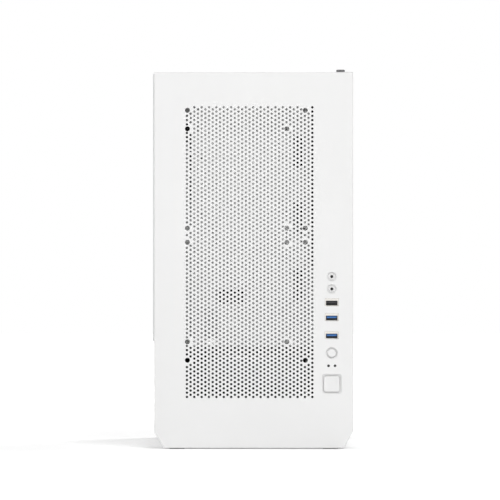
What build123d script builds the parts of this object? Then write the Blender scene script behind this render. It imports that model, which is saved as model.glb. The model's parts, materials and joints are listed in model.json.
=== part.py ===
"""Mini-tower desktop computer: perforated steel front, glass left side and the working parts inside.

Millimetres. x is measured from the middle of the steel body, to the right as seen from the front.
y runs from the front to the rear, and z up from the floor.
"""
import os
from math import atan2, cos, radians, sin, sqrt

from build123d import *

os.makedirs("parts", exist_ok=True)

# Body
body_width = 210.0
body_height = 398.0
body_depth = 380.0
sheet = 0.8
panel_gap = 0.3
round_facets = 20
corner_facets = 3
foot_height = 18.0
taper_inset = 10.0
ground_gap = 1.0

# Front panel
front_sheet = 1.0
front_return = 12.0
front_bend = 0.8

# Perforated field. The punched holes stand mesh_pitch apart; one modelled hole stands for a
# patch of mesh_group by mesh_group of them, with the same open share.
mesh_from_left = 34.45
mesh_to_sockets = 8.55
mesh_low_z = 55.1
mesh_from_top = 36.9
mesh_pitch = 4.5
mesh_hole = 2.3
mesh_group = 6
mesh_margin = 3.4
mesh_rim = 2.4
mesh_fit = 0.1

# Fan screw holes in the front: two fans of either size share a column and the middle rows
fan_column_inset = 0.55
fan_middle_rise = 17.8
fan_row_gap = 15.0
large_fan_pitch = 124.5
small_fan_pitch = 105.0
front_fan_hole = 5.3
fan_hole_land = 1.6

# Front sockets and buttons, in one column
io_from_right = 22.5
io_width = 24.0
io_margin = 9.0
io_depth = 13.0
io_plate = 2.0
io_wall = 1.5
io_fit = 0.2
board_sheet = 1.6
jack_upper_z = 182.2
jack_spacing = 13.0
jack_bush = 9.0
jack_bore = 3.6
jack_body = 11.0
usb2_z = 154.3
usb3_upper_z = 138.5
usb3_lower_z = 119.5
usb_width = 13.2
usb_height = 5.8
usb_wall = 0.4
usb_recess = 0.2
tongue_width = 11.1
tongue_thickness = 1.9
tongue_rise = 0.75
tongue_recess = 1.6
tongue_block = 2.5
tongue_fit = 0.1
led_z = 88.0
led_spacing = 6.9
led_diameter = 2.4
power_z = 68.8
power_size = 16.6
power_recess = 20.6
power_corner = 2.4
power_stem = 5.0
power_travel = 1.5
reset_z = 101.4
reset_diameter = 8.8
reset_recess = 12.4
reset_stem = 3.0
reset_travel = 1.2
button_proud = 0.8
button_edge = 0.6
button_fit = 0.3
small_facets = 16
button_lip = 1.1
button_lip_thickness = 1.2
button_stop_gap = 0.1
power_switch = 12.0
power_switch_height = 5.0
reset_switch = 6.0
reset_switch_height = 4.0
stem_engagement = 0.5
stem_floor = 0.6

# Side panels
side_sheet = 1.0
side_clear = 0.2
lap_width = 10.0
lap_gap = 0.15
glass_thickness = 4.0
glass_proud = 1.6
glass_seat = 0.8
frame_border = 18.0
stud_flange = 12.0
stud_flange_thickness = 0.9
stud_pin = 5.0
stud_length = 8.0
socket_diameter = 15.0
socket_length = 6.5
stud_fit = 0.4
frame_hole_fit = 1.0

# Thumbscrew on the roof
screw_from_right = 12.8
screw_from_front = 26.0
screw_head = 9.0
screw_head_height = 2.6
screw_head_chamfer = 0.5
screw_shank = 3.0
screw_length = 7.0
screw_fit = 0.05
tab_width = 16.0
tab_reach = 5.2
notch_fit = 0.4

# Feet and dust filter
foot_width = 34.0
foot_length = 50.0
foot_edge = 2.0
pad_height = 1.5
pad_inset = 4.0
filter_to_feet = 7.1
filter_length = 150.0
filter_thickness = 3.0
filter_border = 7.0
filter_mesh_sheet = 0.6
filter_fit = 0.3
filter_grip = 8.0
rail_lip = 4.0
rail_sheet = 1.0

# Inner front wall, with the cable slots seen through the front
wall_from_front = 45.0
wall_right_x = 60.6
wall_flange = 12.0
wall_slot_width = 10.8
wall_slot_height = 34.5
wall_slot_x = 47.8
wall_slot_pitch = 70.5
wall_slot_count = 3
wall_slot_top_z = 314.9
cross_slot_width = 31.0
cross_slot_height = 15.0
cross_slot_x = -26.0
cross_slot_z = 160.7
notch_width = 15.0
notch_x = -46.0
notch_top_z = 148.8
slit_width = 3.2
slit_x = -68.1
slit_top_z = 339.6
slit_head_width = 8.5
slit_head_height = 34.0
slit_head_x = -72.0
wall_hole = 4.0
wall_hole_x = -55.7
wall_hole_upper_z = 309.5
wall_hole_spacing = 60.3

# Motherboard and tray
tray_from_right = 21.8
tray_from_front = 62.0
tray_cable_slot = 18.0
tray_cable_length = 56.0
tray_cable_inset = 16.0
tray_cable_gap = 27.0
tray_cable_slots = 3
tray_window = 105.0
standoff_height = 6.5
standoff_flats = 5.5
standoff_bore = 3.0
board_from_roof = 13.0
board_above_shelf = 31.4
board_depth = 244.0
board_rear_gap = 1.5
board_hole = 3.6
board_hole_columns = (6.4, 163.8)
board_hole_rows = (10.2, 165.1)
board_hole_front = 8.0
board_hole_low = 7.0
board_screw_head = 6.0
board_screw_head_height = 2.2
board_screw_fit = 0.05
board_screw_length = 5.0
cpu_from_rear = 104.0
cpu_from_top = 92.0
socket_size = 46.0
socket_height = 4.0
chip_size = 37.5
chip_height = 3.0

# Cooler on the processor
cooler_core = 17.0
cooler_radius = 43.0
cooler_fins = 24
cooler_fin_sheet = 1.2
cooler_height = 34.0
cooler_ring = 47.0
cooler_ring_wall = 2.0
cooler_fan_depth = 25.0
cooler_post_square = 75.0
cooler_post = 7.0
cooler_arm = 6.0
cooler_arm_thickness = 4.0

# Memory, expansion slots, heatsinks and connectors on the board
memory_slot_length = 140.0
memory_slot_width = 6.6
memory_slot_height = 9.0
memory_slot_pitch = 9.6
memory_slots_from_front = 36.0
memory_slot_count = 4
memory_from_top = 10.0
memory_groove = 3.4
memory_groove_depth = 6.0
memory_length = 133.0
memory_height = 34.0
memory_edge = 3.0
memory_spreader = 6.4
slot_pitch = 20.32
slot_first_from_top = 166.0
slot_to_edge = 10.0
slot_height = 11.0
slot_width = 7.5
slot_groove = 2.0
slot_groove_depth = 8.0
slot_from_rear = 46.0
long_slot = 89.0
short_slot = 25.0
sink_height = 24.0
sink_base = 5.0
sink_fin = 1.6
sink_gap = 3.2
sink_width = 22.0
sink_from_edge = 4.0
rear_sink_width = 18.0
chip_sink_rise = 30.0
coin_diameter = 20.0
coin_height = 5.0
main_connector_length = 52.0
main_connector_width = 10.0
main_connector_height = 13.0
connector_wall = 1.0
connector_floor = 3.0
connector_from_edge = 5.0

# Rear panel. Each socket block: middle below the top of its opening, rise from the board, width
port_blocks = ((28.6, 30.0, 17.0), (63.5, 26.0, 22.0), (98.5, 32.0, 18.0), (136.6, 36.0, 14.0))
port_area_width = 44.5
port_area_height = 158.8
port_area_depth = 3.4
port_shield_sheet = 0.4
port_shield_lap = 3.0
port_proud = 1.2
port_fit = 0.3
port_rib = 4.0
port_wall = 1.5
port_hole_depth = 13.2
port_length = 24.0
slot_window_width = 112.0
slot_window_height = 13.5
slot_cover_length = 124.0
slot_cover_height = 18.4
rear_screw_head = 6.6
rear_proud = 2.4
rear_screw_shank = 3.4
rear_screw_length = 5.0
rear_screw_fit = 0.1
psu_fan_size = 120.0
fan_depth = 25.0
fan_corner = 6.0
fan_wall = 2.5
fan_screw_inset = 7.5
fan_hub = 20.0
fan_tip_gap = 5.5
fan_blades = 7
fan_shaft = 3.0
fan_shaft_fit = 0.05
fan_strut = 4.0
fan_strut_depth = 3.0
fan_strut_root = 1.6
fan_hub_gap = 1.0
blade_sheet = 1.8
blade_pitch = 38.0
root_share = 0.7
blade_margin = 2.5
rear_fan_gap = 3.0
rear_fan_side = 12.5
rear_fan_from_roof = 10.0
grille_bar = 4.0
grille_slot = 6.0
grille_inset = 2.5

# Power supply
psu_width = 150.0
psu_height = 86.0
psu_length = 140.0
psu_sheet = 1.0
psu_seat = 2.5
psu_seat_length = 112.0
psu_rear_margin = 6.0
psu_screw_inset = 6.0
psu_fan_from_rear = 72.0
shelf_clear = 0.7
inlet_width = 50.0
inlet_height = 24.0
inlet_rim = 2.0
inlet_rim_depth = 1.6
inlet_depth = 16.0
inlet_cavity_width = 24.0
inlet_cavity_height = 16.4
inlet_cavity_depth = 13.0
inlet_cavity_cut = 4.0
inlet_pin_width = 4.0
inlet_pin_thickness = 2.0
inlet_pin_length = 10.0
inlet_pin_spacing = 14.0
inlet_pin_drop = 3.0
inlet_from_left = 42.0
inlet_from_top = 24.0
rocker_width = 10.0
rocker_height = 16.0
rocker_depth = 6.0
rocker_tilt = 11.0
rocker_fit = 0.8
rocker_pin = 2.4
rocker_pin_fit = 0.05

# Drives
drive_width = 101.6
drive_height = 26.1
drive_length = 147.0
drive_bottom_z = 69.8
drive_x = 4.8
drive_from_psu = 16.2
drive_fit = 0.3
drive_screw = 3.4
drive_screw_head = 6.4
drive_screw_head_height = 1.6
drive_screw_spacing = 60.3
drive_screw_rise = 6.4
drive_cover_inset = 4.0
drive_cover_step = 1.2
cage_post = 30.0
ssd_width = 69.85
ssd_length = 100.0
ssd_height = 7.0
ssd_corner = 2.0
ssd_edge = 0.6
ssd_x = -50.0
ssd_from_wall = 20.0

# Vents in the roof, the shelf and under the power supply
vent_slot = 12.0
vent_pitch = 24.0
vent_length = 60.0
vent_rib = 14.0
base_vent_length = 44.0
roof_vent_rows = 9
shelf_vent_rows = 3
base_vent_rows = 5
psu_vent_rows = 4

# Places that follow from the sizes above
half = body_width / 2
centre_x = glass_proud / 2
front_y = -(body_depth + rear_proud - button_proud) / 2
rear_y = front_y + body_depth
rear_wall_y = rear_y - sheet
side_y = front_y + front_return + panel_gap
wall_y = front_y + wall_from_front
floor_z = foot_height + sheet
ceiling_z = body_height - sheet
shelf_z = floor_z + psu_seat + psu_height + shelf_clear + sheet
skirt_top_z = shelf_z + frame_border / 4
frame_x = -half - glass_proud + glass_thickness + panel_gap
chassis_right_x = half - side_sheet - side_clear
tray_x = half - tray_from_right
io_x = half - io_from_right
io_back_y = front_y + front_sheet + io_depth
io_top_z = jack_upper_z + io_margin
io_bottom_z = power_z - power_recess / 2 - io_wall - button_lip
mesh_left_x = -half + mesh_from_left
mesh_right_x = io_x - io_width / 2 - mesh_to_sockets
mesh_width = mesh_right_x - mesh_left_x
mesh_height = body_height - mesh_from_top - mesh_low_z
mesh_offset_x = (mesh_left_x + mesh_right_x) / 2
mesh_centre_z = mesh_low_z + mesh_height / 2
fan_column_x = mesh_left_x + fan_column_inset
fan_middle_z = mesh_centre_z + fan_middle_rise
board_back_x = tray_x - standoff_height
board_x = board_back_x - board_sheet
board_top_z = ceiling_z - board_from_roof
board_height = board_top_z - shelf_z - board_above_shelf
board_rear_y = rear_wall_y - board_rear_gap
cpu_y = board_rear_y - cpu_from_rear
cpu_z = board_top_z - cpu_from_top
cooler_back_x = board_x - socket_height - chip_height
cooler_front_x = cooler_back_x - cooler_height
usb_heights = (usb2_z, usb3_upper_z, usb3_lower_z)
slot_count = int((board_height - slot_first_from_top - slot_to_edge) / slot_pitch) + 1
slot_heights = [board_top_z - slot_first_from_top - slot_pitch * i for i in range(slot_count)]
port_left_x = board_x + port_area_depth - port_area_width
port_top_z = board_top_z + port_area_depth
rear_fan_size = port_left_x - rear_fan_gap - frame_x - sheet - rear_fan_side
rear_fan_bore = rear_fan_size / 2 - fan_wall
rear_fan_x = port_left_x - rear_fan_gap - rear_fan_size / 2
rear_fan_z = ceiling_z - rear_fan_from_roof - rear_fan_size / 2
psu_fan_bore = psu_fan_size / 2 - fan_wall
psu_bottom_z = floor_z + psu_seat
psu_top_z = psu_bottom_z + psu_height
psu_front_y = rear_wall_y - psu_length
psu_fan_y = rear_wall_y - psu_fan_from_rear
inlet_x = psu_width / 2 - inlet_from_left
inlet_z = psu_top_z - inlet_from_top
drive_y = psu_front_y - drive_from_psu - drive_length
screw_x = half - screw_from_right
screw_y = front_y + screw_from_front
lap_z = body_height + lap_gap


def front_plane(y):
    """Upright plane across the tower at depth y, facing forwards."""
    return Plane(origin=(centre_x, y, 0), x_dir=(1, 0, 0), z_dir=(0, -1, 0))


def side_plane(x):
    """Upright plane along the tower, facing right, x from the middle of the body."""
    return Plane(origin=(centre_x + x, 0, 0), x_dir=(0, 1, 0), z_dir=(1, 0, 0))


def level_plane(z):
    """Level plane at height z, facing up."""
    return Plane(origin=(centre_x, 0, z), x_dir=(1, 0, 0), z_dir=(0, 0, 1))


def hexagon(width, mode=Mode.ADD):
    """Hexagon across its flats, for small fasteners and the holes that they go through."""
    RegularPolygon(width / 2, 6, major_radius=False, mode=mode)


def facet_ring(radius, facets=round_facets, mode=Mode.ADD):
    """Round outline in flat facets."""
    RegularPolygon(radius, facets, mode=mode)


def facet_bore(radius):
    """Round hole in flat facets that clear a shaft of the given radius."""
    RegularPolygon(radius, small_facets, major_radius=False, mode=Mode.SUBTRACT)


def soft_square(size, corner):
    """Square with round corners in flat facets."""
    reach = size / 2 - corner
    outline = []
    for quarter, (side, end) in enumerate(((1, 1), (-1, 1), (-1, -1), (1, -1))):
        for step in range(corner_facets + 1):
            angle = radians(90 * (quarter + step / corner_facets))
            outline.append((side * reach + corner * cos(angle), end * reach + corner * sin(angle)))
    Polygon(*outline, align=None)


def span(low_u, high_u, low_v, high_v, mode=Mode.ADD):
    """Rectangle in the sketch between two bounds each way."""
    with Locations(((low_u + high_u) / 2, (low_v + high_v) / 2)):
        Rectangle(high_u - low_u, high_v - low_v, mode=mode)


# Front panel: a folded sheet with a return all round


def tower_front():
    """Outline of the front: square top, upright sides and a taper to the floor on both sides."""
    Polygon(
        (-half, foot_height),
        (-half, body_height),
        (half, body_height),
        (half, foot_height),
        (half - taper_inset, ground_gap),
        (-half + taper_inset, ground_gap),
        align=None,
    )


def socket_openings(fit):
    """Openings for the jacks, the sockets and the two lights."""
    with Locations((io_x, jack_upper_z), (io_x, jack_upper_z - jack_spacing)):
        facet_ring(jack_bush / 2 + fit, small_facets)
    with Locations(*[(io_x, z) for z in usb_heights]):
        Rectangle(usb_width + 2 * fit, usb_height + 2 * fit)
    with Locations((io_x - led_spacing / 2, led_z), (io_x + led_spacing / 2, led_z)):
        facet_ring(led_diameter / 2 + fit, small_facets)


taper_angle = atan2(taper_inset, foot_height - ground_gap)
foot_inner = half - taper_inset - front_sheet / cos(taper_angle)
window_width = mesh_width + 2 * mesh_margin
window_height = mesh_height + 2 * mesh_margin

with BuildPart() as front_panel:
    with BuildSketch(front_plane(front_y)):
        tower_front()
    extrude(amount=-front_return)
    chamfer(front_panel.faces().sort_by(Axis.Y)[0].edges(), front_bend)
    with BuildSketch(front_plane(front_y + front_sheet)):
        tower_front()
        offset(amount=-front_sheet, kind=Kind.INTERSECTION)
        span(-foot_inner, foot_inner, 0, foot_height)
    extrude(amount=-front_return, mode=Mode.SUBTRACT)
    with BuildSketch(front_plane(front_y)):
        with Locations((mesh_offset_x, mesh_centre_z)):
            Rectangle(window_width, window_height)
        socket_openings(io_fit)
        with Locations((io_x, reset_z)):
            facet_ring(reset_recess / 2)
        with Locations((io_x, power_z)):
            soft_square(power_recess, power_corner)
    extrude(amount=-front_sheet, mode=Mode.SUBTRACT)

# Perforated field: a sheet flush in the window, with a rim behind it. Holes stand in columns
# at 60 degrees, and those that would break into a fan screw hole are left out.
group_pitch = mesh_pitch * mesh_group
column_pitch = group_pitch * sin(radians(60))
hole_flats = mesh_hole * mesh_group * sqrt(radians(180) / (2 * sqrt(3)))
near_rows, small_rows, large_rows = [
    [fan_middle_z + side * (fan_row_gap / 2 + reach) for side in (1, -1)]
    for reach in (0, small_fan_pitch, large_fan_pitch)
]
fan_holes = [(fan_column_x, z) for z in near_rows + small_rows + large_rows]
fan_holes += [(fan_column_x + small_fan_pitch, z) for z in near_rows + small_rows]
fan_holes += [(fan_column_x + large_fan_pitch, z) for z in near_rows + large_rows]
keep_clear = hole_flats / sqrt(3) + front_fan_hole / 2 + fan_hole_land
column_count = int(mesh_width / column_pitch) + 1
perforation = []
for column in range(column_count):
    column_x = mesh_offset_x + (column - (column_count - 1) / 2) * column_pitch
    row_count = int(mesh_height / group_pitch) + (column + 1) % 2
    for row in range(row_count):
        row_z = mesh_centre_z + (row - (row_count - 1) / 2) * group_pitch
        if all((column_x - x) ** 2 + (row_z - z) ** 2 > keep_clear**2 for x, z in fan_holes):
            perforation.append((column_x, row_z))

with BuildPart() as front_mesh:
    with BuildSketch(front_plane(front_y + front_sheet)):
        with Locations((mesh_offset_x, mesh_centre_z)):
            Rectangle(window_width + 2 * mesh_rim, window_height + 2 * mesh_rim)
            Rectangle(window_width - mesh_margin, window_height - mesh_margin, mode=Mode.SUBTRACT)
    extrude(amount=-sheet)
    with BuildSketch(front_plane(front_y)):
        with Locations((mesh_offset_x, mesh_centre_z)):
            Rectangle(window_width - 2 * mesh_fit, window_height - 2 * mesh_fit)
    extrude(amount=-front_sheet)
    with BuildSketch(front_plane(front_y)):
        with Locations(*perforation):
            RegularPolygon(hole_flats / 2, 6, major_radius=False)
        with Locations(*fan_holes):
            Circle(front_fan_hole / 2)
    extrude(amount=-(front_sheet + sheet), mode=Mode.SUBTRACT)

# Holder behind the panel for the sockets and buttons, closed at the back by their board
guide_y = front_y + front_sheet + io_plate

with BuildPart() as io_holder:
    with BuildSketch(front_plane(front_y + front_sheet)):
        span(io_x - io_width / 2, io_x + io_width / 2, io_bottom_z, io_top_z)
    extrude(amount=-io_depth)
    with BuildSketch(front_plane(guide_y)):
        span(
            io_x - io_width / 2 + io_wall,
            io_x + io_width / 2 - io_wall,
            io_bottom_z + io_wall,
            io_top_z - io_wall,
        )
    extrude(amount=-io_depth, mode=Mode.SUBTRACT)
    with BuildSketch(front_plane(front_y + front_sheet)):
        socket_openings(io_fit)
        with Locations((io_x, reset_z)):
            facet_ring(reset_diameter / 2 + button_fit)
        with Locations((io_x, power_z)):
            soft_square(power_size + 2 * button_fit, power_corner)
    extrude(amount=-io_plate, mode=Mode.SUBTRACT)

with BuildPart() as io_board:
    with BuildSketch(front_plane(io_back_y)):
        span(io_x - io_width / 2, io_x + io_width / 2, io_bottom_z, io_top_z)
    extrude(amount=-board_sheet)


jack_places = [(io_x, jack_upper_z), (io_x, jack_upper_z - jack_spacing)]
jack_front_y = guide_y + io_fit

with BuildPart() as audio_jacks:
    with BuildSketch(front_plane(jack_front_y)):
        with Locations(*jack_places):
            Rectangle(jack_body, jack_body)
    extrude(amount=-(io_back_y - jack_front_y))
    with BuildSketch(front_plane(jack_front_y)):
        with Locations(*jack_places):
            facet_ring(jack_bush / 2, small_facets)
    extrude(amount=jack_front_y - front_y - usb_recess)
    with BuildSketch(front_plane(front_y)):
        with Locations(*jack_places):
            Circle(jack_bore / 2)
    extrude(amount=-(io_back_y - front_y - stem_floor), mode=Mode.SUBTRACT)


def usb_shells(heights):
    """Drawn metal shells of rectangular sockets, open at the front."""
    with BuildPart() as shells:
        with BuildSketch(front_plane(front_y + usb_recess)):
            with Locations(*[(io_x, z) for z in heights]):
                Rectangle(usb_width, usb_height)
                Rectangle(usb_width - 2 * usb_wall, usb_height - 2 * usb_wall, mode=Mode.SUBTRACT)
        extrude(amount=-(io_back_y - front_y - usb_recess))
    return shells


def usb_tongues(heights):
    """Moulded tongues of rectangular sockets, each on the block that closes its shell."""
    inner_width = usb_width - 2 * usb_wall - 2 * tongue_fit
    inner_height = usb_height - 2 * usb_wall - 2 * tongue_fit
    with BuildPart() as tongues:
        with BuildSketch(front_plane(io_back_y)):
            with Locations(*[(io_x, z) for z in heights]):
                Rectangle(inner_width, inner_height)
        extrude(amount=tongue_block)
        with BuildSketch(front_plane(io_back_y)):
            with Locations(*[(io_x, z + tongue_rise) for z in heights]):
                Rectangle(tongue_width, tongue_thickness)
        extrude(amount=io_back_y - front_y - tongue_recess)
    return tongues


usb2_shell = usb_shells([usb2_z])
usb2_tongue = usb_tongues([usb2_z])
usb3_shells = usb_shells([usb3_upper_z, usb3_lower_z])
usb3_tongues = usb_tongues([usb3_upper_z, usb3_lower_z])

with BuildPart() as light_pipes:
    with BuildSketch(front_plane(io_back_y)):
        with Locations((io_x - led_spacing / 2, led_z), (io_x + led_spacing / 2, led_z)):
            facet_ring(led_diameter / 2, small_facets)
    extrude(amount=io_back_y - front_y - usb_recess)

power_switch_y = io_back_y - power_switch_height
reset_switch_y = io_back_y - reset_switch_height

with BuildPart() as push_switches:
    with BuildSketch(front_plane(io_back_y)):
        with Locations((io_x, power_z)):
            Rectangle(power_switch, power_switch)
    extrude(amount=power_switch_height)
    with BuildSketch(front_plane(io_back_y)):
        with Locations((io_x, reset_z)):
            Rectangle(reset_switch, reset_switch)
    extrude(amount=reset_switch_height)
    with BuildSketch(front_plane(power_switch_y)):
        with Locations((io_x, power_z)):
            hexagon(power_stem + 2 * button_fit)
    extrude(amount=-(stem_engagement + power_travel + stem_floor), mode=Mode.SUBTRACT)
    with BuildSketch(front_plane(reset_switch_y)):
        with Locations((io_x, reset_z)):
            hexagon(reset_stem + 2 * button_fit)
    extrude(amount=-(stem_engagement + reset_travel + stem_floor), mode=Mode.SUBTRACT)

lip_y = guide_y + button_stop_gap

with BuildPart() as power_button:
    with BuildSketch(front_plane(lip_y)):
        with Locations((io_x, power_z)):
            soft_square(power_size, power_corner)
    extrude(amount=lip_y - front_y + button_proud)
    chamfer(power_button.faces().sort_by(Axis.Y)[0].edges(), button_edge)
    with BuildSketch(front_plane(lip_y)):
        with Locations((io_x, power_z)):
            Rectangle(power_size + 2 * button_lip, power_size + 2 * button_lip)
    extrude(amount=-button_lip_thickness)
    with BuildSketch(front_plane(lip_y + button_lip_thickness)):
        with Locations((io_x, power_z)):
            hexagon(power_stem)
    extrude(amount=-(power_switch_y + stem_engagement - lip_y - button_lip_thickness))

with BuildPart() as reset_button:
    with BuildSketch(front_plane(lip_y)):
        with Locations((io_x, reset_z)):
            facet_ring(reset_diameter / 2)
    extrude(amount=lip_y - front_y + button_proud)
    chamfer(reset_button.faces().sort_by(Axis.Y)[0].edges(), button_edge)
    with BuildSketch(front_plane(lip_y)):
        with Locations((io_x, reset_z)):
            facet_ring(reset_diameter / 2 + button_lip)
    extrude(amount=-button_lip_thickness)
    with BuildSketch(front_plane(lip_y + button_lip_thickness)):
        with Locations((io_x, reset_z)):
            hexagon(reset_stem)
    extrude(amount=-(reset_switch_y + stem_engagement - lip_y - button_lip_thickness))

# Chassis sheets


def vent_slots(y, rows, length):
    """Two columns of straight vent slots cut from the sketch."""
    with Locations((0, y)):
        with GridLocations(length + vent_rib, vent_pitch, 2, rows):
            Rectangle(length, vent_slot, mode=Mode.SUBTRACT)


with BuildPart() as roof_panel:
    with BuildSketch(level_plane(ceiling_z)):
        span(frame_x, chassis_right_x, side_y, rear_y)
        vent_slots((side_y + rear_y) / 2, roof_vent_rows, vent_length)
        with Locations((screw_x, screw_y)):
            facet_bore(screw_shank / 2 + screw_fit)
    extrude(amount=sheet)
    with BuildSketch(level_plane(ceiling_z)):
        span(chassis_right_x - sheet, chassis_right_x, side_y, rear_wall_y)
    extrude(amount=-front_return)

with BuildPart() as base_pan:
    with BuildSketch(level_plane(foot_height)):
        span(-half, chassis_right_x, side_y, rear_y)
        vent_slots(psu_fan_y, base_vent_rows, base_vent_length)
    extrude(amount=sheet)
    with BuildSketch(level_plane(floor_z)):
        span(chassis_right_x - sheet, chassis_right_x, side_y, rear_wall_y)
        span(-half + sheet, chassis_right_x, side_y, side_y + sheet)
    extrude(amount=front_return)
    with BuildSketch(level_plane(floor_z)):
        for edge_x in (-1, 1):
            with Locations((edge_x * (psu_width / 2 - psu_screw_inset), psu_fan_y)):
                Rectangle(psu_screw_inset, psu_seat_length)
    extrude(amount=psu_seat)

port_right_x = port_left_x + port_area_width
slot_right_x = board_x + port_area_depth
slot_centre_x = slot_right_x - slot_window_width / 2
fan_screw_reach = rear_fan_size / 2 - fan_screw_inset
fan_screws = [
    (rear_fan_x + side * fan_screw_reach, rear_fan_z + end * fan_screw_reach)
    for side in (-1, 1)
    for end in (-1, 1)
]
cover_right_x = tray_x - panel_gap
slot_screw_x = (slot_right_x + cover_right_x) / 2
slot_screws = [(slot_screw_x, z) for z in slot_heights]
psu_screws = [
    (side * (psu_width / 2 - psu_screw_inset), z)
    for side in (-1, 1)
    for z in (psu_bottom_z + psu_screw_inset, psu_top_z - psu_screw_inset)
]
rear_screw_places = fan_screws + slot_screws + psu_screws
grille_pitch = grille_slot + grille_bar
grille_radius = rear_fan_bore - grille_inset
grille_rows = int(grille_radius / grille_pitch)

with BuildPart() as rear_panel:
    with BuildSketch(front_plane(rear_wall_y)):
        span(frame_x, chassis_right_x, floor_z, ceiling_z)
        span(-half + sheet, frame_x, floor_z, shelf_z)
        span(port_left_x, port_right_x, port_top_z - port_area_height, port_top_z, mode=Mode.SUBTRACT)
        with Locations(*[(slot_centre_x, z) for z in slot_heights]):
            Rectangle(slot_window_width, slot_window_height, mode=Mode.SUBTRACT)
        for row in range(-grille_rows, grille_rows + 1):
            chord = 2 * sqrt(grille_radius**2 - (abs(row) * grille_pitch) ** 2) - grille_slot
            with Locations((rear_fan_x, rear_fan_z + row * grille_pitch)):
                Rectangle(max(chord, grille_slot), grille_slot, mode=Mode.SUBTRACT)
        span(
            -psu_width / 2 + 2 * psu_rear_margin,
            psu_width / 2 - 2 * psu_rear_margin,
            psu_bottom_z + psu_rear_margin,
            psu_top_z - psu_rear_margin,
            mode=Mode.SUBTRACT,
        )
        with Locations(*rear_screw_places):
            hexagon(rear_screw_shank + 2 * rear_screw_fit, mode=Mode.SUBTRACT)
    extrude(amount=-sheet)

with BuildPart() as psu_shroud:
    with BuildSketch(level_plane(shelf_z - sheet)):
        span(-half + sheet, tray_x + sheet, wall_y, rear_wall_y)
        vent_slots(wall_y + ssd_from_wall + ssd_length + vent_length, shelf_vent_rows, vent_length)
    extrude(amount=sheet)
    with BuildSketch(side_plane(-half)):
        span(side_y, rear_y, floor_z, skirt_top_z)
    extrude(amount=sheet)

stud_inset = frame_border / 2
stud_places = [
    (y, z)
    for y in (side_y + stud_inset, rear_wall_y - stud_inset)
    for z in (skirt_top_z + glass_seat + stud_inset, ceiling_z - stud_inset)
]

with BuildPart() as left_side_frame:
    with BuildSketch(side_plane(frame_x)):
        span(side_y, rear_wall_y, shelf_z, ceiling_z)
        span(
            side_y + frame_border,
            rear_wall_y - frame_border,
            skirt_top_z + glass_seat + frame_border,
            ceiling_z - frame_border,
            mode=Mode.SUBTRACT,
        )
        with Locations(*stud_places):
            hexagon(stud_flange + 2 * frame_hole_fit, mode=Mode.SUBTRACT)
    extrude(amount=sheet)

with BuildPart() as stud_sockets:
    with BuildSketch(side_plane(frame_x + sheet)):
        with Locations(*stud_places):
            hexagon(socket_diameter)
            hexagon(stud_pin + 2 * stud_fit, mode=Mode.SUBTRACT)
    extrude(amount=socket_length)

glass_inner_x = frame_x - panel_gap

with BuildPart() as glass_panel:
    with BuildSketch(side_plane(glass_inner_x)):
        span(side_y, rear_y - panel_gap, skirt_top_z + glass_seat, ceiling_z)
    extrude(amount=-glass_thickness)
    chamfer(glass_panel.faces().sort_by(Axis.X)[0].edges(), glass_proud / 4)

with BuildPart() as glass_studs:
    with BuildSketch(side_plane(glass_inner_x)):
        with Locations(*stud_places):
            hexagon(stud_flange)
    extrude(amount=stud_flange_thickness)
    with BuildSketch(side_plane(glass_inner_x + stud_flange_thickness)):
        with Locations(*stud_places):
            hexagon(stud_pin)
    extrude(amount=stud_length - stud_flange_thickness)

# Right side panel: laps the roof with a folded edge, and a notched tab goes under the thumbscrew
with BuildPart() as right_panel:
    with BuildSketch(side_plane(half - side_sheet)):
        span(side_y, rear_y - panel_gap, foot_height + lap_gap, lap_z + sheet)
    extrude(amount=side_sheet)
    with BuildSketch(level_plane(lap_z)):
        span(half - lap_width, half, side_y, rear_y - panel_gap)
        span(screw_x - tab_reach, half - lap_width, screw_y - tab_width / 2, screw_y + tab_width / 2)
        span(
            screw_x - tab_reach,
            screw_x + screw_shank / 2 + notch_fit,
            screw_y - screw_shank / 2 - notch_fit,
            screw_y + screw_shank / 2 + notch_fit,
            mode=Mode.SUBTRACT,
        )
    extrude(amount=sheet)
    fillet(right_panel.faces().sort_by(Axis.X)[-1].edges().filter_by(Axis.Y).sort_by(Axis.Z)[-1], sheet / 2)

head_z = lap_z + sheet + screw_fit

with BuildPart() as roof_thumbscrew:
    with BuildSketch(level_plane(head_z)):
        with Locations((screw_x, screw_y)):
            facet_ring(screw_head / 2)
    extrude(amount=screw_head_height)
    chamfer(roof_thumbscrew.faces().sort_by(Axis.Z)[-1].edges(), screw_head_chamfer)
    with BuildSketch(level_plane(head_z)):
        with Locations((screw_x, screw_y)):
            facet_ring(screw_shank / 2, small_facets)
    extrude(amount=-screw_length)

# Feet, and the dust filter that slides out under the power supply
foot_outer = half - front_sheet - 3 * panel_gap
foot_slope = taper_inset / (foot_height - ground_gap)

with BuildPart() as feet:
    for foot_y in (front_y + front_sheet + panel_gap, rear_y - foot_length):
        with BuildSketch(front_plane(foot_y)):
            Polygon(
                (foot_outer, foot_height),
                (foot_outer - foot_slope * (foot_height - pad_height), pad_height),
                (foot_outer - foot_width, pad_height),
                (foot_outer - foot_width, foot_height),
                align=None,
            )
            mirror(about=Plane.YZ)
        extrude(amount=-foot_length)
    chamfer(feet.edges().filter_by(Axis.Z), foot_edge)

pad_outer = foot_outer - taper_inset - pad_inset
pad_inner = foot_outer - foot_width + pad_inset

with BuildPart() as foot_pads:
    with BuildSketch(level_plane(0)):
        for foot_y in (front_y + front_sheet + panel_gap, rear_y - foot_length):
            span(pad_inner, pad_outer, foot_y + pad_inset, foot_y + foot_length - pad_inset)
            span(-pad_outer, -pad_inner, foot_y + pad_inset, foot_y + foot_length - pad_inset)
    extrude(amount=pad_height)

filter_width = 2 * (foot_outer - foot_width - filter_to_feet)
filter_top_z = foot_height - filter_fit
filter_front_y = rear_y - filter_length
rail_z = filter_top_z - filter_thickness - filter_fit - rail_sheet

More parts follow.
